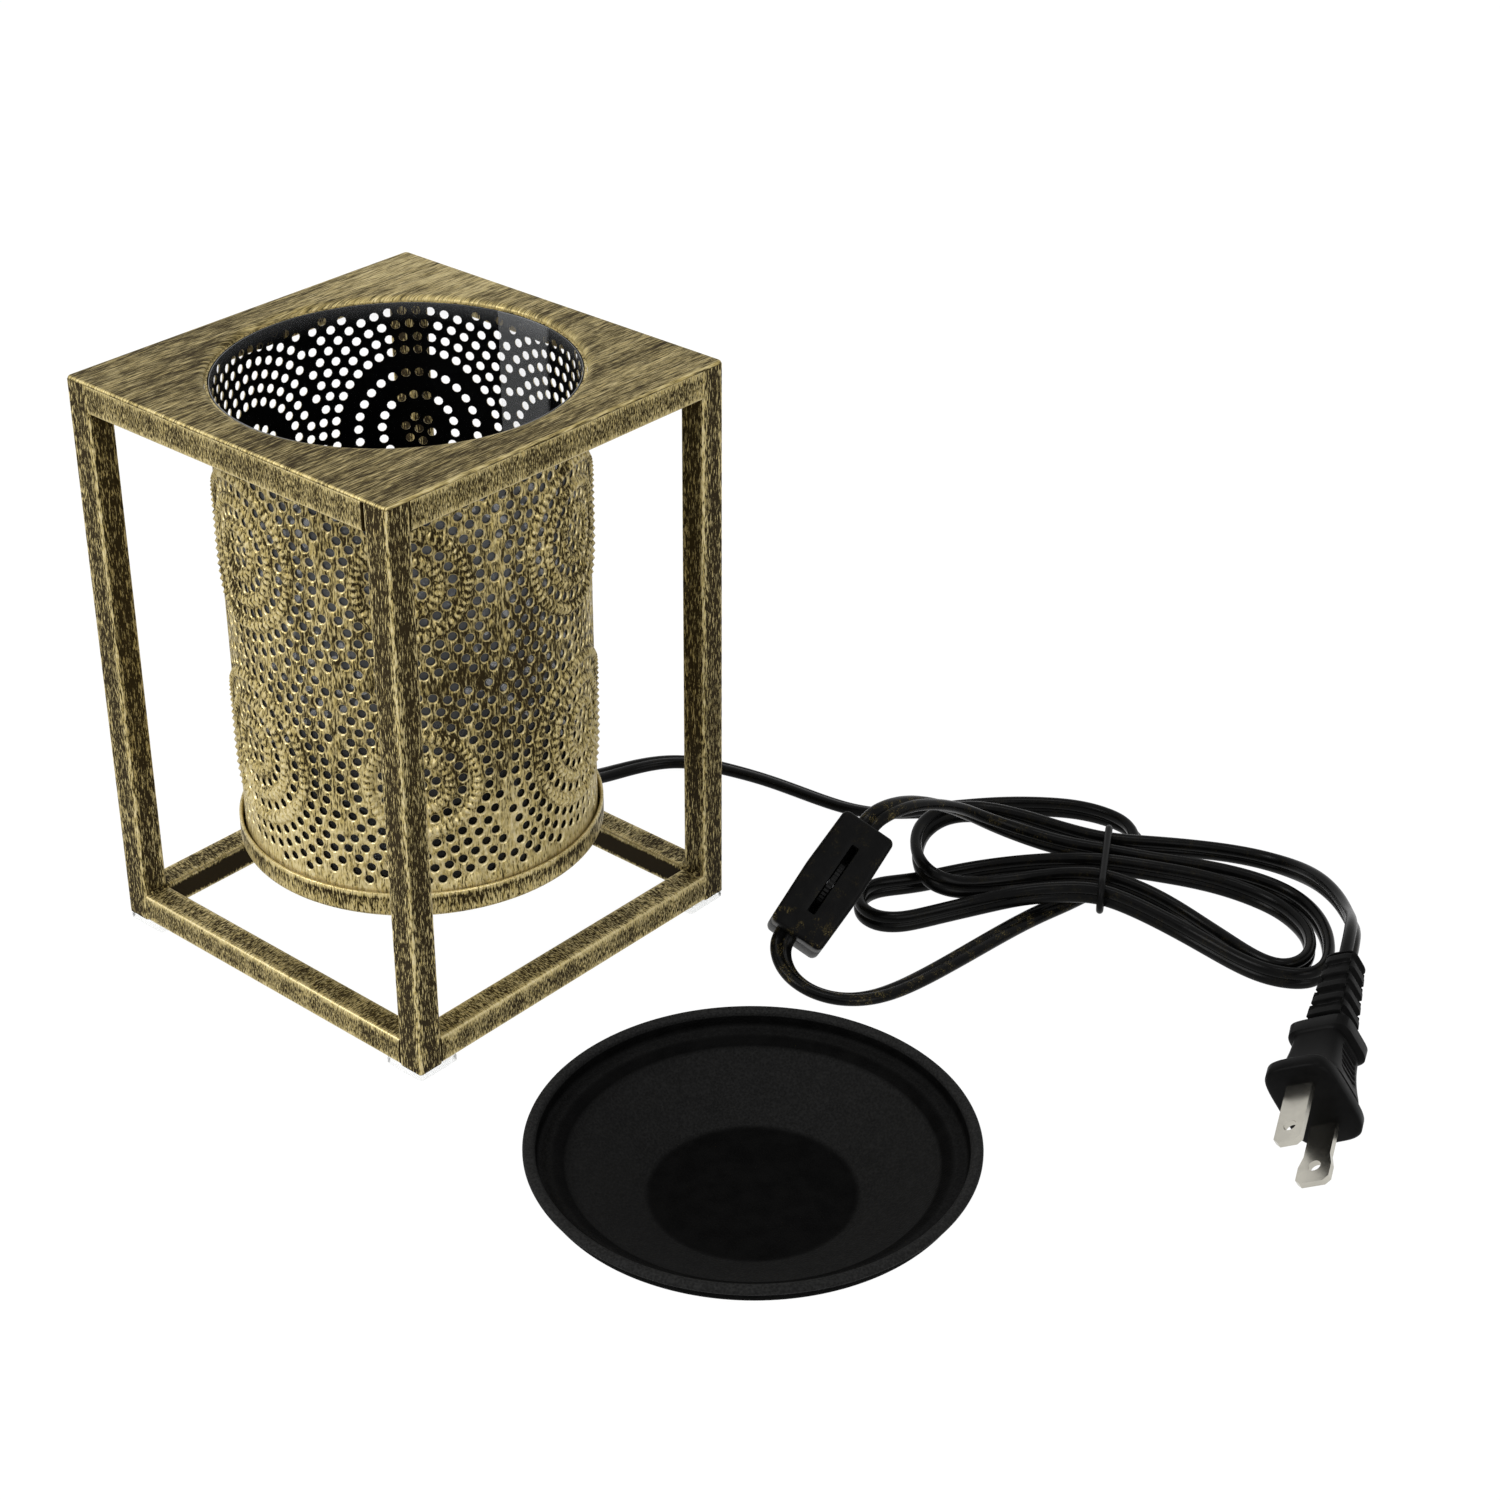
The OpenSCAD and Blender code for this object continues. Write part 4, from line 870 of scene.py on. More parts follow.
class WARMER_OT_plate(bpy.types.Operator):
    """Top plate with a turned-down lip round its hole and rounded outer edges"""

    bl_idname = "warmer.plate"
    bl_label = "Top plate"

    def execute(self, context):
        low, high = node_box("top_plate")
        half, top, under = high[0], high[2], low[2]
        lip = context.scene.warmer_stand.lip / MM
        corner = np.radians(np.linspace(-1.6, 1.6, 9))[None]
        a = np.sort(np.concatenate([around(224), (np.pi / 4 + corner + np.arange(4)[:, None] * np.pi / 2).ravel()]))
        a = a[np.concatenate([[True], np.diff(a) > 1e-4])]
        circle = np.stack([np.cos(a), np.sin(a)], -1)
        q = np.linspace(0, QUARTER, 6)
        mouth, inset = PLATE_HOLE - 0.95, 1.6
        rows = [(circle * PLATE_HOLE, top - lip, 0.2), (circle * mouth, top - lip + 0.15, 0.6)]
        for t in q:
            rows.append((circle * (mouth + 1.75 * (1 - np.cos(t))), top - 1.0 + np.sin(t), 0.5 - 0.5 * (t / 1.571)))
        rows += [(circle * (PLATE_HOLE + 1.7), top, 0.0), (circle * (PLATE_HOLE + 2.6), top, 0.0)]
        first, last = rows[-1][0], square_outline(a, half - inset, 0.6)
        rows += [(first * (1 - k) + last * k, top, 0.0) for k in (0.25, 0.5, 0.75)]
        rim = [(inset, top, 0.0), (1.0, top, 0.0)]
        rim += [(0.7 * (1 - np.sin(t)), top - 0.7 * (1 - np.cos(t)), 0.7 * np.sin(2 * t)) for t in q]
        rim += [(0.0, under + 0.15, 0.0), (0.1, under, -2.0), (0.5, under, -2.0)]
        rows += [(square_outline(a, half - i, max(1.1 - i, 0.2)), z, edge) for i, z, edge in rim]
        rows += [(circle * (PLATE_HOLE + 1.6), under, 0.0), (circle * (PLATE_HOLE + 0.8), top - lip + 0.3, 0.2)]
        rings = np.array([at_height(loop, z) for loop, z, _ in rows])
        richer = 0.5 * np.clip((rings[..., 0] + rings[..., 1] - 40) / 40, 0, 1)
        part = lofted(rings, endless=True, edge=np.array([edge for _, _, edge in rows])[:, None] + richer)
        gilt = gilded("gilded_plate", (240, 4200, 400), coverage=0.34, softness=0.34, contrast=1.7, patches=0.6)
        make_piece("top_plate_sheet", part, gilt, "stand", ["top_plate"])
        return {"FINISHED"}


class WARMER_OT_pads(bpy.types.Operator):
    """Clear foot pads with rounded edges"""

    bl_idname = "warmer.pads"
    bl_label = "Foot pads"

    def execute(self, context):
        gel = clear("pad_gel", (0.9, 0.91, 0.9), rough=0.18, index=1.45, weight=0.85)
        edge, q = 0.5, np.linspace(0, QUARTER, 5)
        for name in PADS:
            low, high = node_box(name)
            half, mid, tall = (high - low)[0] / 2, (high + low) / 2, high[2] - low[2]
            rows = [(edge * (1 - np.sin(t)), edge * (1 - np.cos(t))) for t in q]
            rows += [(edge * (1 - np.cos(t)), tall - edge * (1 - np.sin(t))) for t in q]
            outline = lambda i: rounded_loop(half - i, half - i, 1.2 - i, 4, 4, 5) + mid[:2]
            rings = np.array([at_height(outline(i), low[2] + z) for i, z in rows])
            make_piece(name + "_cushion", lofted(rings), gel, "stand", [name])
        return {"FINISHED"}


def weld_bead(start, end, radius, seed):
    """A lumpy bead between two points.

    Its round section swells and shrinks with three sine waves along it and round it, and closes at its ends.
    """
    t, a = np.linspace(0, 1, 25)[:, None], around(14)[None]
    start, end = np.asarray(start, float), np.asarray(end, float)
    ahead = (end - start) / np.linalg.norm(end - start)
    u = np.cross(ahead, (0.31, 0.52, 0.79))
    u /= np.linalg.norm(u)
    v = np.cross(ahead, u)
    lumps = 1 + 0.16 * np.sin(9 * t + seed) + 0.13 * np.sin(23 * t + 2.1 * seed + 2 * np.sin(a))
    lumps = lumps + 0.08 * np.sin(3 * a + 31 * t + seed)
    r = radius * lumps * np.sqrt(np.clip(1 - (2 * t - 1) ** 6, 0.02, 1))
    rings = (start + t * (end - start))[:, None] + (r * np.cos(a))[..., None] * u + (r * np.sin(a))[..., None] * v
    return lofted(rings, recess=np.clip(1.2 - lumps, 0, 0.5) * 1.2)


class WARMER_OT_welds(bpy.types.Operator):
    """Lumpy weld beads where the rails meet the posts"""

    bl_idname = "warmer.welds"
    bl_label = "Weld beads"

    def execute(self, context):
        r = context.scene.warmer_stand.weld / MM
        inner, outer, low_rail, top_rail, sunk = 45.5, 51.3, 9.0, 138.3, 0.25
        beads, seed = [], 0.7
        for sx, sy in ((-1, -1), (-1, 1), (1, -1), (1, 1)):
            for z in (low_rail - sunk, top_rail + sunk):
                beads.append(weld_bead((sx * (inner + 0.2), sy * inner, z), (sx * outer, sy * inner, z), r, seed))
                beads.append(weld_bead((sx * inner, sy * (inner + 0.2), z), (sx * inner, sy * outer, z), r, seed + 1.3))
                seed += 2.9
            x, y = sx * (inner + 0.1), sy * (inner + 0.1)
            beads.append(weld_bead((x, y, 3.0), (x, y, 9.4), 0.9 * r, seed))
        gilt = gilded("gilded_welds", (1300,) * 3, coverage=0.46, softness=0.14, contrast=1.3, patches=0.3, bump=0.5)
        make_piece("weld_beads", joined(*beads), gilt, "stand")
        return {"FINISHED"}


def wrapped(d, lap):
    """A distance round the shade taken the short way."""
    return (d + lap / 2) % lap - lap / 2


def apart(points, others, lap):
    """Distances between all of the points and all of the others on the unrolled shade."""
    dx = wrapped(points[:, None, 0] - others[None, :, 0], lap)
    return np.hypot(dx, points[:, None, 1] - others[None, :, 1])


def medallions(radius):
    """Middles of the medallions on the unrolled shade: way round, height, reach, and whether it is a small one."""
    kinds = ((LARGE_TURNS, LARGE_REACH, 0), (SMALL_TURNS, SMALL_REACH, 1))
    return np.array([
        (math.radians(t) * radius, z, reach, small)
        for turns, reach, small in kinds for t in turns for z in MEDALLION_ROWS])


def nearest_medallion(points, middles, lap):
    """The medallion whose circle each point is deepest in: least squared distance less squared reach."""
    dx = wrapped(points[:, None, 0] - middles[None, :, 0], lap)
    return (dx**2 + (points[:, None, 1] - middles[None, :, 1]) ** 2 - middles[None, :, 2] ** 2).argmin(1)


def shade_holes(middles, lap, spacing):
    """Middles of the holes: rings about each medallion out to where the next one's rings begin.

    They are thinned to a least spacing, with inner rings first.
    """
    points, owner, ring = [], [], []
    for k, (s, z, _, small) in enumerate(middles):
        rings = SMALL_HOLES if small else LARGE_HOLES
        reach = [rings[-1][0] + RING_STEP * i for i in range(1, 12)]
        for r, n in rings + tuple((r, round(2 * math.pi * r / HOLE_STEP)) for r in reach):
            a = around(n) + (np.pi / 2 / n if r else 0)
            points.append(np.c_[s + r * np.cos(a), z + r * np.sin(a)])
            owner.append(np.full(n, k))
            ring.append(np.full(n, r))
    points, owner, ring = np.concatenate(points), np.concatenate(owner), np.concatenate(ring)
    keep = (nearest_medallion(points, middles, lap) == owner)
    keep &= (points[:, 1] > PIERCED_LOW) & (points[:, 1] < PIERCED_HIGH)
    points, ring = points[keep], ring[keep]
    points = points[np.argsort(ring, kind="stable")]
    points[:, 0] %= lap
    near = apart(points, points, lap) < spacing
    near &= np.tri(len(points), k=-1, dtype=bool)
    alive = np.ones(len(points), bool)
    for _ in range(12):
        alive = ~(near & alive[None]).any(1)
    return points[alive]


def fluted_rings(points, middles, lap):
    """Share of the full relief at each point, and how deep it lies in a recess.

    Each ring is a rounded ridge 3.5 mm wide at its foot, cut by flutes that follow a cosine round it.
    """
    height, recess = np.zeros(len(points)), np.zeros(len(points))
    owner = nearest_medallion(points, middles, lap)
    for k, (s, z, _, small) in enumerate(middles):
        mine = owner == k
        dx, dz = wrapped(points[mine, 0] - s, lap), points[mine, 1] - z
        r, a = np.hypot(dx, dz), np.arctan2(dz, dx)
        h, d = np.zeros(mine.sum()), np.zeros(mine.sum())
        for radius, flutes in SMALL_FLUTES if small else LARGE_FLUTES:
            off = np.abs(r - radius)
            w = np.clip(1 - off / 1.75, 0, 1)
            ridge = w * w * (3 - 2 * w)
            flute = 0.5 + 0.5 * np.cos(flutes * a)
            h += ridge * (0.4 + 0.6 * flute)
            d += ridge * (1 - flute) * 0.9 + np.exp(-(((off - 1.65) / 0.4) ** 2)) * 0.5 - ridge * flute * 1.0
        height[mine], recess[mine] = h, d
    return height, recess


def ridge_points(middles, holes, lap, low, high, clearance):
    """Points on each fluted ring, four to a flute and five across it, that keep clear of the holes and the rims."""
    ridge = []
    for k, (s, z, _, small) in enumerate(middles):
        for r, flutes in SMALL_FLUTES if small else LARGE_FLUTES:
            t, q = around(4 * flutes), r + np.array([-1.6, -0.85, 0.0, 0.85, 1.6])
            grid = np.stack([s + q[:, None] * np.cos(t), z + q[:, None] * np.sin(t)], -1).reshape(-1, 2)
            mine = nearest_medallion(grid, middles, lap) == k
            grid = grid[mine & (grid[:, 1] > low + 1) & (grid[:, 1] < high - 1)]
            ridge.append(grid[apart(grid, holes, lap).min(1) > clearance])
    ridge = np.concatenate(ridge)
    ridge[:, 0] %= lap
    return ridge


def wrapped_triangles(points, holes_of, lap, margin=7.0):
    """Delaunay triangles of points on a band that closes on itself.

    Points near each end are repeated past the other end, and triangles whose middle lies in one lap are kept.
    Triangles inside a hole are left out.
    """
    index = np.arange(len(points))
    left, right = points[:, 0] < margin, points[:, 0] > lap - margin
    flat = np.concatenate([points, points[left] + (lap, 0), points[right] - (lap, 0)])
    source = np.concatenate([index, index[left], index[right]])
    made = delaunay_2d_cdt([Vector(p) for p in flat.tolist()], [], [], 0, 1e-6, True)
    origin = np.array([o[0] if o else -1 for o in made[3]])
    tris = origin[np.array(made[2])]
    middle = flat[tris, 0].mean(1)
    tris = source[tris[(middle >= 0) & (middle < lap) & (tris >= 0).all(1)]]
    h = holes_of[tris]
    inside = (h[:, 0] >= 0) & (h[:, 0] == h[:, 1]) & (h[:, 0] == h[:, 2])
    return tris[~inside]


def rolled(points, lap, radius):
    """Unrolled points put round the axis at a radius."""
    a = points[:, 0] * 2 * np.pi / lap
    return np.c_[radius * np.cos(a), radius * np.sin(a), points[:, 1]]


def pierced_shade(size, low, high):
    """The shade as one closed shell.

    It has a triangulated outer face raised by the fluted rings, a plain inner face, the walls of the holes and
    the two rims. Marks: edge on the rim of a hole, partly a painted highlight of its lit rim; recess in the
    flutes, and painted shade round each hole, less towards the bottom, and more in a patch of dark streaks
    that is partly painted shade.
    """
    radius, n, m = SHADE_RADIUS, HOLE_POINTS, RIM_POINTS
    hole, relief, lap = size.hole / MM, size.relief / MM, 2 * np.pi * SHADE_RADIUS
    middles = medallions(radius)
    holes = shade_holes(middles, lap, size.spacing / MM)
    a = around(n) + 0.15
    spokes = np.stack([np.cos(a), np.sin(a)], -1)[None]
    edges, collar = ((holes[:, None] + r * spokes).reshape(-1, 2) for r in (hole, hole + COLLAR_WIDTH))
    edges[:, 0] %= lap
    collar[:, 0] %= lap
    rim_s = (np.arange(m) + 0.37) * lap / m
    shared = np.concatenate([edges, at_height(rim_s, low), at_height(rim_s, high)])
    count, hole_of = len(shared), np.concatenate([np.repeat(np.arange(len(holes)), n), np.full(2 * m, -1)])
    raised = np.concatenate([collar, ridge_points(middles, holes, lap, low, high, hole + 0.5)])
    outer = np.concatenate([shared, raised])
    outer_tris = wrapped_triangles(outer, np.concatenate([hole_of, np.full(len(raised), -1)]), lap)
    inner_tris = wrapped_triangles(shared, hole_of, lap)

    height, recess = fluted_rings(outer, middles, lap)
    on_edge, on_rim, on_collar = slice(len(edges)), slice(len(edges), count), slice(count, count + len(collar))
    height[on_rim] = recess[on_rim] = 0
    # Painted shade: a darker ring round each hole, where its dimple lies in shade
    recess[on_collar] += 0.3
    height[on_edge] -= EDGE_SINK / relief
    height[on_collar] -= COLLAR_SINK / relief
    # Gold grows towards the bottom
    recess -= 0.7 * np.clip((62 - outer[:, 1]) / 16, 0, 1)
    # A patch of dark vertical streaks, partly painted shade on the side turned from the key lamp
    off = wrapped(outer[:, 0] - math.radians(SHADED_STREAKS_TURN) * radius, lap) / radius / math.radians(SHADED_STREAKS_ARC)
    recess += SHADED_STREAKS_DEPTH * np.exp(-(off**2) - ((outer[:, 1] - SHADED_STREAKS_HEIGHT) / SHADED_STREAKS_REACH) ** 2)
    # Gold on the edge of each hole, partly a painted highlight of its lit rim
    rim = np.concatenate([np.ones(len(edges)), np.zeros(2 * m + len(raised))])

    skin = rolled(outer, lap, radius + relief * height)
    lining = rolled(shared, lap, radius - SHADE_WALL)
    start, k = len(outer), np.arange(len(edges))
    after = k // n * n + (k + 1) % n
    walls = np.stack([after, k, k + start, after + start], -1)
    b, b1 = len(edges) + np.arange(m), len(edges) + (np.arange(m) + 1) % m
    bottom = np.stack([b1, b, b + start, b1 + start], -1)
    top = np.stack([b + m, b1 + m, b1 + m + start, b + m + start], -1)
    plain = np.zeros(count)
    part = surface(
        np.concatenate([skin, lining]), np.concatenate([walls[:, ::-1], bottom, top]), outer_tris,
        recess=np.concatenate([recess, plain]), edge=np.concatenate([rim, plain]))
    part["faces"].append((inner_tris[:, ::-1] + start, 1))
    return part


class WARMER_OT_shade(bpy.types.Operator):
    """Pierced shade with raised fluted rings, black inside, and its three inward tabs"""

    bl_idname = "warmer.shade"
    bl_label = "Shade"

    def execute(self, context):
        low, high = node_box("shade")
        parts = [pierced_shade(context.scene.warmer_shade, low[2], high[2])]
        loop = rounded_loop(3.4, 4.0, 1.0, 4, 4, 5) + (39.2, 0)
        for turn in (90, 210, 330):
            tab = in_place(lofted(np.array([at_height(loop, z) for z in (26.8, 27.4)])), (0, 0, 0), (0, 0, turn))
            tab["faces"] = [(f, 1) for f, _ in tab["faces"]]
            parts.append(tab)
        outside = gilded(
            "gilded_shade", (2200, 2200, 480), coverage=0.57, softness=0.2, contrast=1.7, patches=0.6, bump=0.9)
        inside = moulded("shade_inside", (0.005,) * 3, 2500, rough=0.55, spread=0.1, bump=0.1, specular=0.08)
        make_piece("shade_shell", joined(*parts), [outside, inside], "stand", ["shade"], sharp=60)
        finish_nodes(gilded_posts(), "shade_hangers")
        return {"FINISHED"}


class WARMER_OT_liner(bpy.types.Operator):
    """Clear sheet rolled inside the shade, its ends overlapping"""

    bl_idname = "warmer.liner"
    bl_label = "Liner"

    def execute(self, context):
        low, high = (corner[2] for corner in node_box("shade_liner"))
        rows, n = 240, 24
        t = np.linspace(0, 1, rows)[:, None]
        a = np.radians(-10) + t * np.radians(382)
        up = np.linspace(low, high, n)
        section = np.concatenate([np.c_[np.zeros(n), up], np.c_[np.full(n, -LINER_WALL), up[::-1]]])
        off, z = section.T
        r = LINER_RADIUS - 0.24 * np.clip((t - 0.93) / 0.06, 0, 1) + off
        rings = np.stack([r * np.cos(a), r * np.sin(a), np.broadcast_to(z, r.shape)], -1)
        skin = (off == 0) * 1.0
        # Painted reflection: the outer skin pales upward from 55 mm. Painted glint: the overlap's inner skin and the
        # top edge
        sky = np.where(skin > 0, np.clip((z - 55) / 40, 0, 1), 1.0)
        seam = np.clip((t - 0.942) / 0.004, 0, 1) * (1 - skin) + 0.6 * (np.abs(z - high) < 0.01)
        # Painted shade: a dark veil over the holes, seen from outside
        film = filmy("liner_film", (0.085, 0.088, 0.092), bare=0.01, painted_shade=0.88)
        part = lofted(rings, skin=skin, sky=sky, seam=seam)
        make_piece("liner_sheet", part, film, "stand", ["shade_liner"], sharp=30)
        return {"FINISHED"}


class WARMER_OT_pan(bpy.types.Operator):
    """Base pan with a rounded lower edge"""

    bl_idname = "warmer.pan"
    bl_label = "Base pan"

    def execute(self, context):
        low, high = node_box("base_pan")
        out, z, top = high[0], low[2], high[2]
        rows = [(0.5, z, 0), (out - 8, z, 0), (out - 1.8, z, 0.1)]
        for t in np.linspace(0, QUARTER, 7):
            rows.append((out - 1.4 + 1.4 * np.sin(t), z + 1.4 - 1.4 * np.cos(t), 0.6))
        rows.append((out, top - 1.4, 0.0))
        for t in np.linspace(0, np.pi, 7):
            rows.append((out - 0.4 + 0.4 * np.cos(t), top - 0.4 + 0.4 * np.sin(t), 0.9))
        rows += [(out - 0.8, z + 2.0, 0), (out - 1.6, z + 0.8, 0), (out - 8, z + 0.8, 0), (0.5, z + 0.8, 0)]
        rows = np.array(rows)
        part = turned(rows[:, :2], 160, edge=rows[:, 2])
        gilt = gilded("gilded_pan", (3000, 3000, 560), coverage=0.34, softness=0.16, contrast=1.9, patches=0.5)
        make_piece("base_pan_sheet", part, gilt, "stand", ["base_pan"])
        return {"FINISHED"}


class WARMER_OT_lamp(bpy.types.Operator):
    """Lamp: dimpled lens, and the finish of the reflector, holder, base, pins and wires"""

    bl_idname = "warmer.lamp"
    bl_label = "Lamp"

    def execute(self, context):
        low, high = node_box("lamp_lens")
        r, z = high[0], low[2]
        q = np.linspace(0.02, 1, 40)
        dome = np.c_[q * r, z + 1.1 + 0.9 * (1 - q**2) + 0.1 * np.cos(q * 40)]
        profile = np.concatenate([at_height(q[::3] * r, z), dome[::-1]])
        glass = clear("lens_glass", (0.95, 0.96, 0.97), rough=0.05, index=1.47, weight=1.0, haze=0.12)
        make_piece("lens_disc", turned(profile, 96), glass, "lamp", ["lamp_lens"])
        finish_nodes(plated("silvered_glass", (0.82, 0.83, 0.85), (300,) * 3, rough=0.16), "lamp_reflector")
        ceramic = moulded(
            "white_ceramic", (0.78, 0.77, 0.73), 900, rough=0.4, spread=0.15, bump=0.15, specular=0.5)
        finish_nodes(ceramic, "lamp_holder", "lamp_base")
        finish_nodes(plated("pin_metal", (0.6, 0.58, 0.52), (900, 900, 2500), rough=0.3), "lamp_pins")
        sleeve = moulded("wire_sleeve", (0.7, 0.69, 0.65), 2500, rough=0.55, spread=0.1, bump=0.3, specular=0.3)
        finish_nodes(sleeve, "lead_wires")
        return {"FINISHED"}


class WARMER_OT_hardware(bpy.types.Operator):
    """Finish of the zinc bracket, screws and nuts, and of the dimmer's axle and board"""

    bl_idname = "warmer.hardware"
    bl_label = "Bracket and fasteners"

    def execute(self, context):
        zinc = plated("zinc_plate", (0.55, 0.56, 0.57), (700,) * 3, rough=0.38)
        for held in ("pan", "bracket", "holder"):
            finish_nodes(zinc, held + "_screws", held + "_nuts")
        finish_nodes(zinc, "holder_bracket", "dimmer_screws", "dimmer_axle")
        board = moulded("board_lacquer", (0.02, 0.12, 0.04), 1800, rough=0.35, spread=0.1, bump=0.1, specular=0.4)
        finish_nodes(board, "dimmer_board")
        return {"FINISHED"}


def case_loop(inset, z):
    """The dimmer's outline, set in and at a height: an oblong whose long sides bulge to their middle."""
    return at_height(rounded_loop(16.5 - inset, 7.25 - inset, max(1.6 - inset, 0.25), 30, 12, 6, 0.5), z)


def slot_loop(grow, z):
    """The wheel slot's outline, with as many points as the dimmer's."""
    return at_height(rounded_loop(9.75 + grow, 0.95 + grow, 0.3, 30, 12, 6), z)


class WARMER_OT_dimmer(bpy.types.Operator):
    """Dimmer: dark cover with its wheel slot, and grey base"""

    bl_idname = "warmer.dimmer"
    bl_label = "Dimmer"

    def execute(self, context):
        tone = context.scene.warmer_finish.plastic
        dark = moulded("dimmer_case", tone, 3200, rough=0.42, spread=0.12, bump=0.14, specular=0.05, scuffs=0.3)
        # Painted reflection: the base is grey for the floor's light on its sloping sides
        painted_reflection_grey = moulded(
            "dimmer_foot", (0.045, 0.045, 0.044), 3200, rough=0.45, spread=0.12, bump=0.14, specular=0.1)
        edge, under, q = 1.1, -15, np.linspace(0, QUARTER, 6)
        cover = [slot_loop(0, -1.3), slot_loop(0, -0.3), slot_loop(0.12, -0.06), slot_loop(0.3, 0)]
        cover += [slot_loop(0.3, 0) * (1 - k) + case_loop(1.6, 0) * k for k in (0.33, 0.66, 1.0)]
        cover += [case_loop(edge * (1 - np.sin(t)), -edge * (1 - np.cos(t))) for t in q]
        cover += [case_loop(0, -5.1), case_loop(0.25, -5.45), case_loop(1.3, -5.45), case_loop(1.3, -1.3)]
        cover += [slot_loop(0.3, -1.3)]
        base = [case_loop(5.2, under), case_loop(edge, under)]
        base += [case_loop(edge * (1 - np.sin(t)), under + edge * (1 - np.cos(t))) for t in q[1:]]
        base += [case_loop(0, -5.9), case_loop(0.25, -5.55), case_loop(1.3, -5.55)]
        base += [case_loop(1.3, -13.6), case_loop(5.2, -13.7)]
        cover, base = np.array(cover), np.array(base)
        rub = np.clip((-cover[..., 0] - 9) / 6, 0, 1)
        top = in_place(lofted(cover, endless=True, rub=rub), DIMMER_AT, DIMMER_TURN)
        foot = in_place(lofted(base), DIMMER_AT, DIMMER_TURN)
        make_piece("dimmer_cover_shell", top, dark, "stand", ["dimmer_cover"])
        make_piece("dimmer_base_shell", foot, painted_reflection_grey, "stand", ["dimmer_base"])
        wheel = moulded("wheel_plastic", (0.007,) * 3, 3000, rough=0.38, spread=0.1, bump=0.1, specular=0.1)
        finish_nodes(wheel, "dimmer_wheel")
        return {"FINISHED"}


class WARMER_OT_plug(bpy.types.Operator):
    """Plug: flange, waisted grip, collar and notched strain relief in one moulding, and its blades' finish"""

    bl_idname = "warmer.plug"
    bl_label = "Plug"

    def execute(self, context):
        part = in_place(self.moulding(), PLUG_AT, PLUG_TURN)
        make_piece("plug_moulding", part, black_plastic(), "stand", ["plug_body"])
        nickel = plated("nickel_blade", (0.5, 0.48, 0.42), (900,) * 3, rough=0.24, worn=0.85)
        finish_nodes(nickel, "blade_narrow", "blade_wide")
        return {"FINISHED"}

    def moulding(self):
        """Sections along x whose outline is a superellipse: flange, grip, collar, relief and end in turn.

        The grip narrows by a power curve, its sides dip into a ribbed panel, and the relief's notches alternate
        between its wide and narrow sides.
        """
        u, tail = np.linspace(0, 1, 44), np.linspace(0, 1, 130)
        x = np.concatenate([
            [0, 0, -0.25, -0.7, -3.4, -3.85, -4.1], -4.6 - 13 * u,
            [-18.0, -18.4, -21.5, -21.9, -22.1], -22.3 - 24.3 * tail, [-47, -47]])
        y = np.concatenate([
            [6.0, 11.2, 11.75, 12, 12, 11.7, 11.0], 6.3 + 1.9 * (1 - u) ** 2.4,
            [6.5, 6.9, 6.9, 6.6, 5.6], 5.2 - 1.2 * tail, [3.6, 2.0]])
        z = np.concatenate([
            [4.0, 7.5, 8.05, 8.3, 8.3, 8.0, 7.6], 6.1 + 1.9 * (1 - u) ** 1.8,
            [7.0, 7.5, 7.5, 7.2, 5.6], 5.2 - 1.4 * tail, [3.2, 1.5]])
        power = np.interp(-x, [0, 4, 6, 18, 22, 24, 47], [4.2, 4.2, 5, 5, 5.5, 5, 4.2])
        a = around(96)[None]
        c, s = np.cos(a), np.sin(a)
        e = (2 / power)[:, None]
        wide, tall = y[:, None] * np.sign(c) * np.abs(c) ** e, z[:, None] * np.sign(s) * np.abs(s) ** e
        narrow = np.clip((np.abs(c) - np.abs(s)) * 6 + 0.5, 0, 1)
        turns = np.clip((-x - 22.9) / 23.2, 0, 1)[:, None] * 5
        notch = [np.clip(3 * np.cos(2 * np.pi * (turns + p)), -1, 1) * 0.5 - 0.5 for p in (0.3, 0.8)]
        on_relief = ((x < -22.8) & (x > -46.2))[:, None]
        cut = (narrow * notch[0] + (1 - narrow) * notch[1]) * on_relief * (1 - 0.06 * turns)
        inward = 1 + 1.15 * cut / np.hypot(wide, tall).clip(1)
        panel = np.clip((-x - 6.6) / 0.7, 0, 1) * np.clip((16.9 + x) / 0.7, 0, 1)
        panel = panel[:, None] * np.clip((3.4 - np.abs(wide)) / 0.6, 0, 1) * (np.abs(s) > 0.5)
        ribs = 0.55 + 0.3 * np.clip(2.5 * np.cos(2 * np.pi * (-x - 6.6) / 1.7), -1, 1)[:, None]
        tall = tall * inward - np.sign(s) * panel * ribs
        return lofted(np.stack([np.broadcast_to(x[:, None], wide.shape), wide * inward, tall], -1))


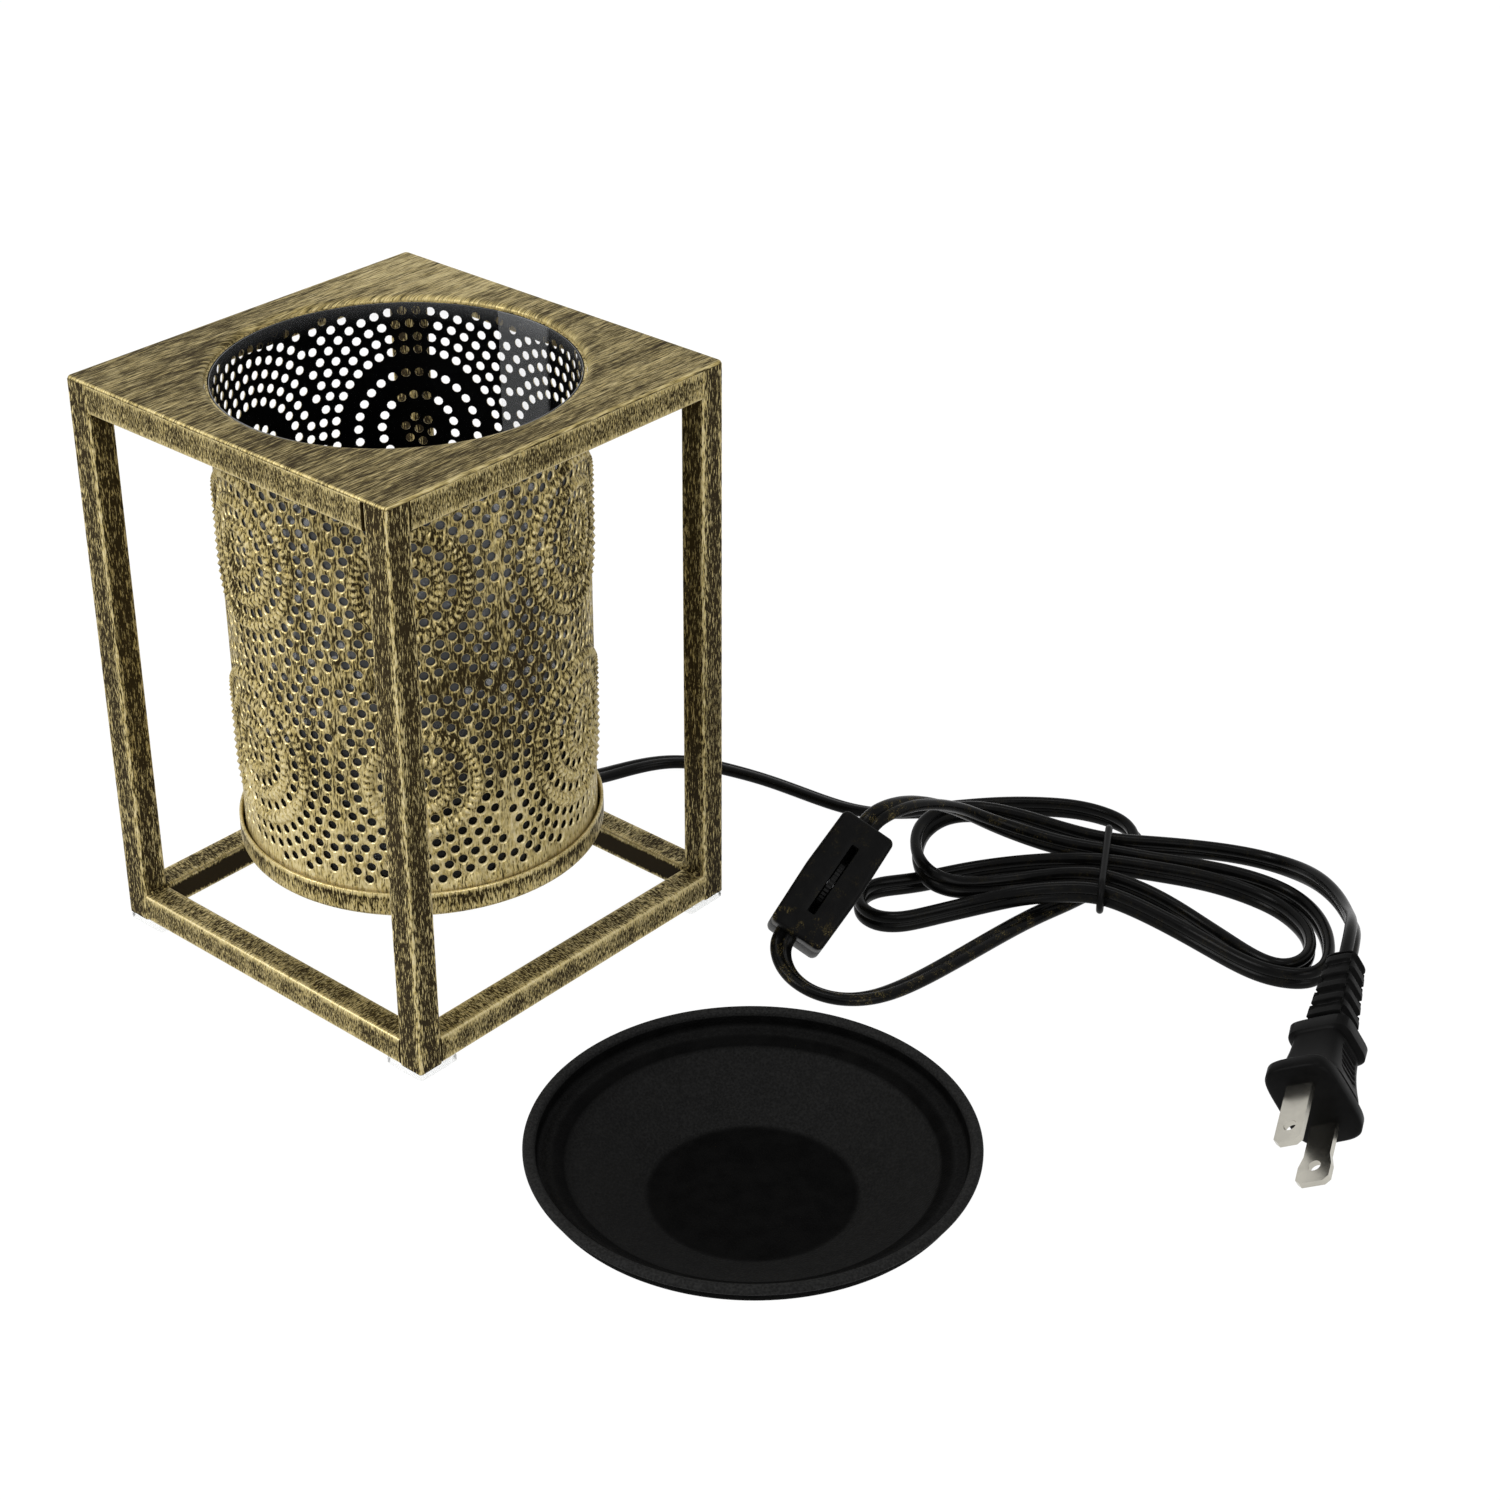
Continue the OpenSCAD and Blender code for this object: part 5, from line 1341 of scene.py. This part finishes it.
class WARMER_OT_dish(bpy.types.Operator):
    """Wax dish: flat base, cone, ledge, short wall and a rolled rim"""

    bl_idname = "warmer.dish"
    bl_label = "Wax dish"

    def execute(self, context):
        low, high = node_box("wax_dish")
        mid, r, h = (low + high) / 2, (high - low)[0] / 2, high[2]
        ledge, step, lip, base, sheet = DISH_LEDGE, DISH_STEP, DISH_LIP, DISH_BASE, DISH_SHEET
        wall, wide, tall, cut = r - 1.8, 1.35, 1.0, 1.2
        bead = np.linspace(-1.6, np.pi + 0.2, 18)
        rim = np.c_[r - wide + wide * np.cos(bead), h - tall + tall * np.sin(bead)]
        outer = softened([
            (0.3, 0), (base, 0), (step - 1.4, ledge - 2.7), (step, ledge - 1.1),
            (lip, ledge), (wall, ledge), (wall + 0.2, h - 2.1)], cut)
        inner = softened([
            (wall - 1.0, h - 1.4), (wall - 1.2, ledge + sheet), (lip - 0.3, ledge + sheet),
            (step - 0.6, ledge - 0.5), (step - 1.9, ledge - 2.0), (base - 0.2, sheet), (0.3, sheet)], cut)
        profile = np.concatenate([outer, rim, inner])
        out, inside = profile[:, 0], np.arange(len(profile)) >= len(outer) + len(rim)
        # Painted highlight: the cone, the ledge and the rolled rim are greyed for the light they catch
        cone = np.clip((step - 0.5 - out) / 0.6, 0, 1) * np.clip((out - base + 0.4) / 1.2, 0, 1)
        shelf = np.clip((out - lip + 0.4) / 0.5, 0, 1) * np.clip((wall - 1.3 - out) / 0.5, 0, 1)
        dust = inside * (cone + 0.6 * shelf)
        dust[len(outer) : len(outer) + len(rim)] = 1.8
        coating = moulded(
            "dish_coating", context.scene.warmer_finish.enamel, 2000,
            rough=0.5, spread=0.12, bump=2.0, specular=0.012, dust=0.075)
        part = turned(profile, 192, mid[:2], dust=dust)
        make_piece("wax_dish_bowl", part, coating, "dish", ["wax_dish"])
        return {"FINISHED"}


class WARMER_PT_panel(bpy.types.Panel):
    """Lists the warmer's pieces and their settings"""

    bl_idname = "WARMER_PT_panel"
    bl_label = "Wax Warmer"
    bl_space_type = "VIEW_3D"
    bl_region_type = "UI"
    bl_category = "Wax Warmer"

    def draw(self, context):
        for name, made in SETTINGS.items():
            box = self.layout.box()
            for setting in made.__annotations__:
                box.prop(getattr(context.scene, name), setting)
        for operator in OPERATORS:
            self.layout.operator(operator.bl_idname)


SETTINGS = {
    "warmer_stand": StandSettings, "warmer_shade": ShadeSettings,
    "warmer_cord": CordSettings, "warmer_finish": FinishSettings,
}
OPERATORS = (
    WARMER_OT_stage, WARMER_OT_cords, WARMER_OT_tubes, WARMER_OT_plate, WARMER_OT_pads, WARMER_OT_welds,
    WARMER_OT_shade, WARMER_OT_liner, WARMER_OT_pan, WARMER_OT_lamp, WARMER_OT_hardware, WARMER_OT_dimmer,
    WARMER_OT_plug, WARMER_OT_dish,
)
CLASSES = (*SETTINGS.values(), *OPERATORS, WARMER_PT_panel)


def register():
    for made in CLASSES:
        bpy.utils.register_class(made)
    for name, made in SETTINGS.items():
        setattr(bpy.types.Scene, name, bpy.props.PointerProperty(type=made))


def unregister():
    for name in SETTINGS:
        delattr(bpy.types.Scene, name)
    for made in reversed(CLASSES):
        bpy.utils.unregister_class(made)


def main():
    register()
    for operator in OPERATORS:
        area, name = operator.bl_idname.split(".")
        getattr(getattr(bpy.ops, area), name)()


if __name__ == "__main__":
    main()
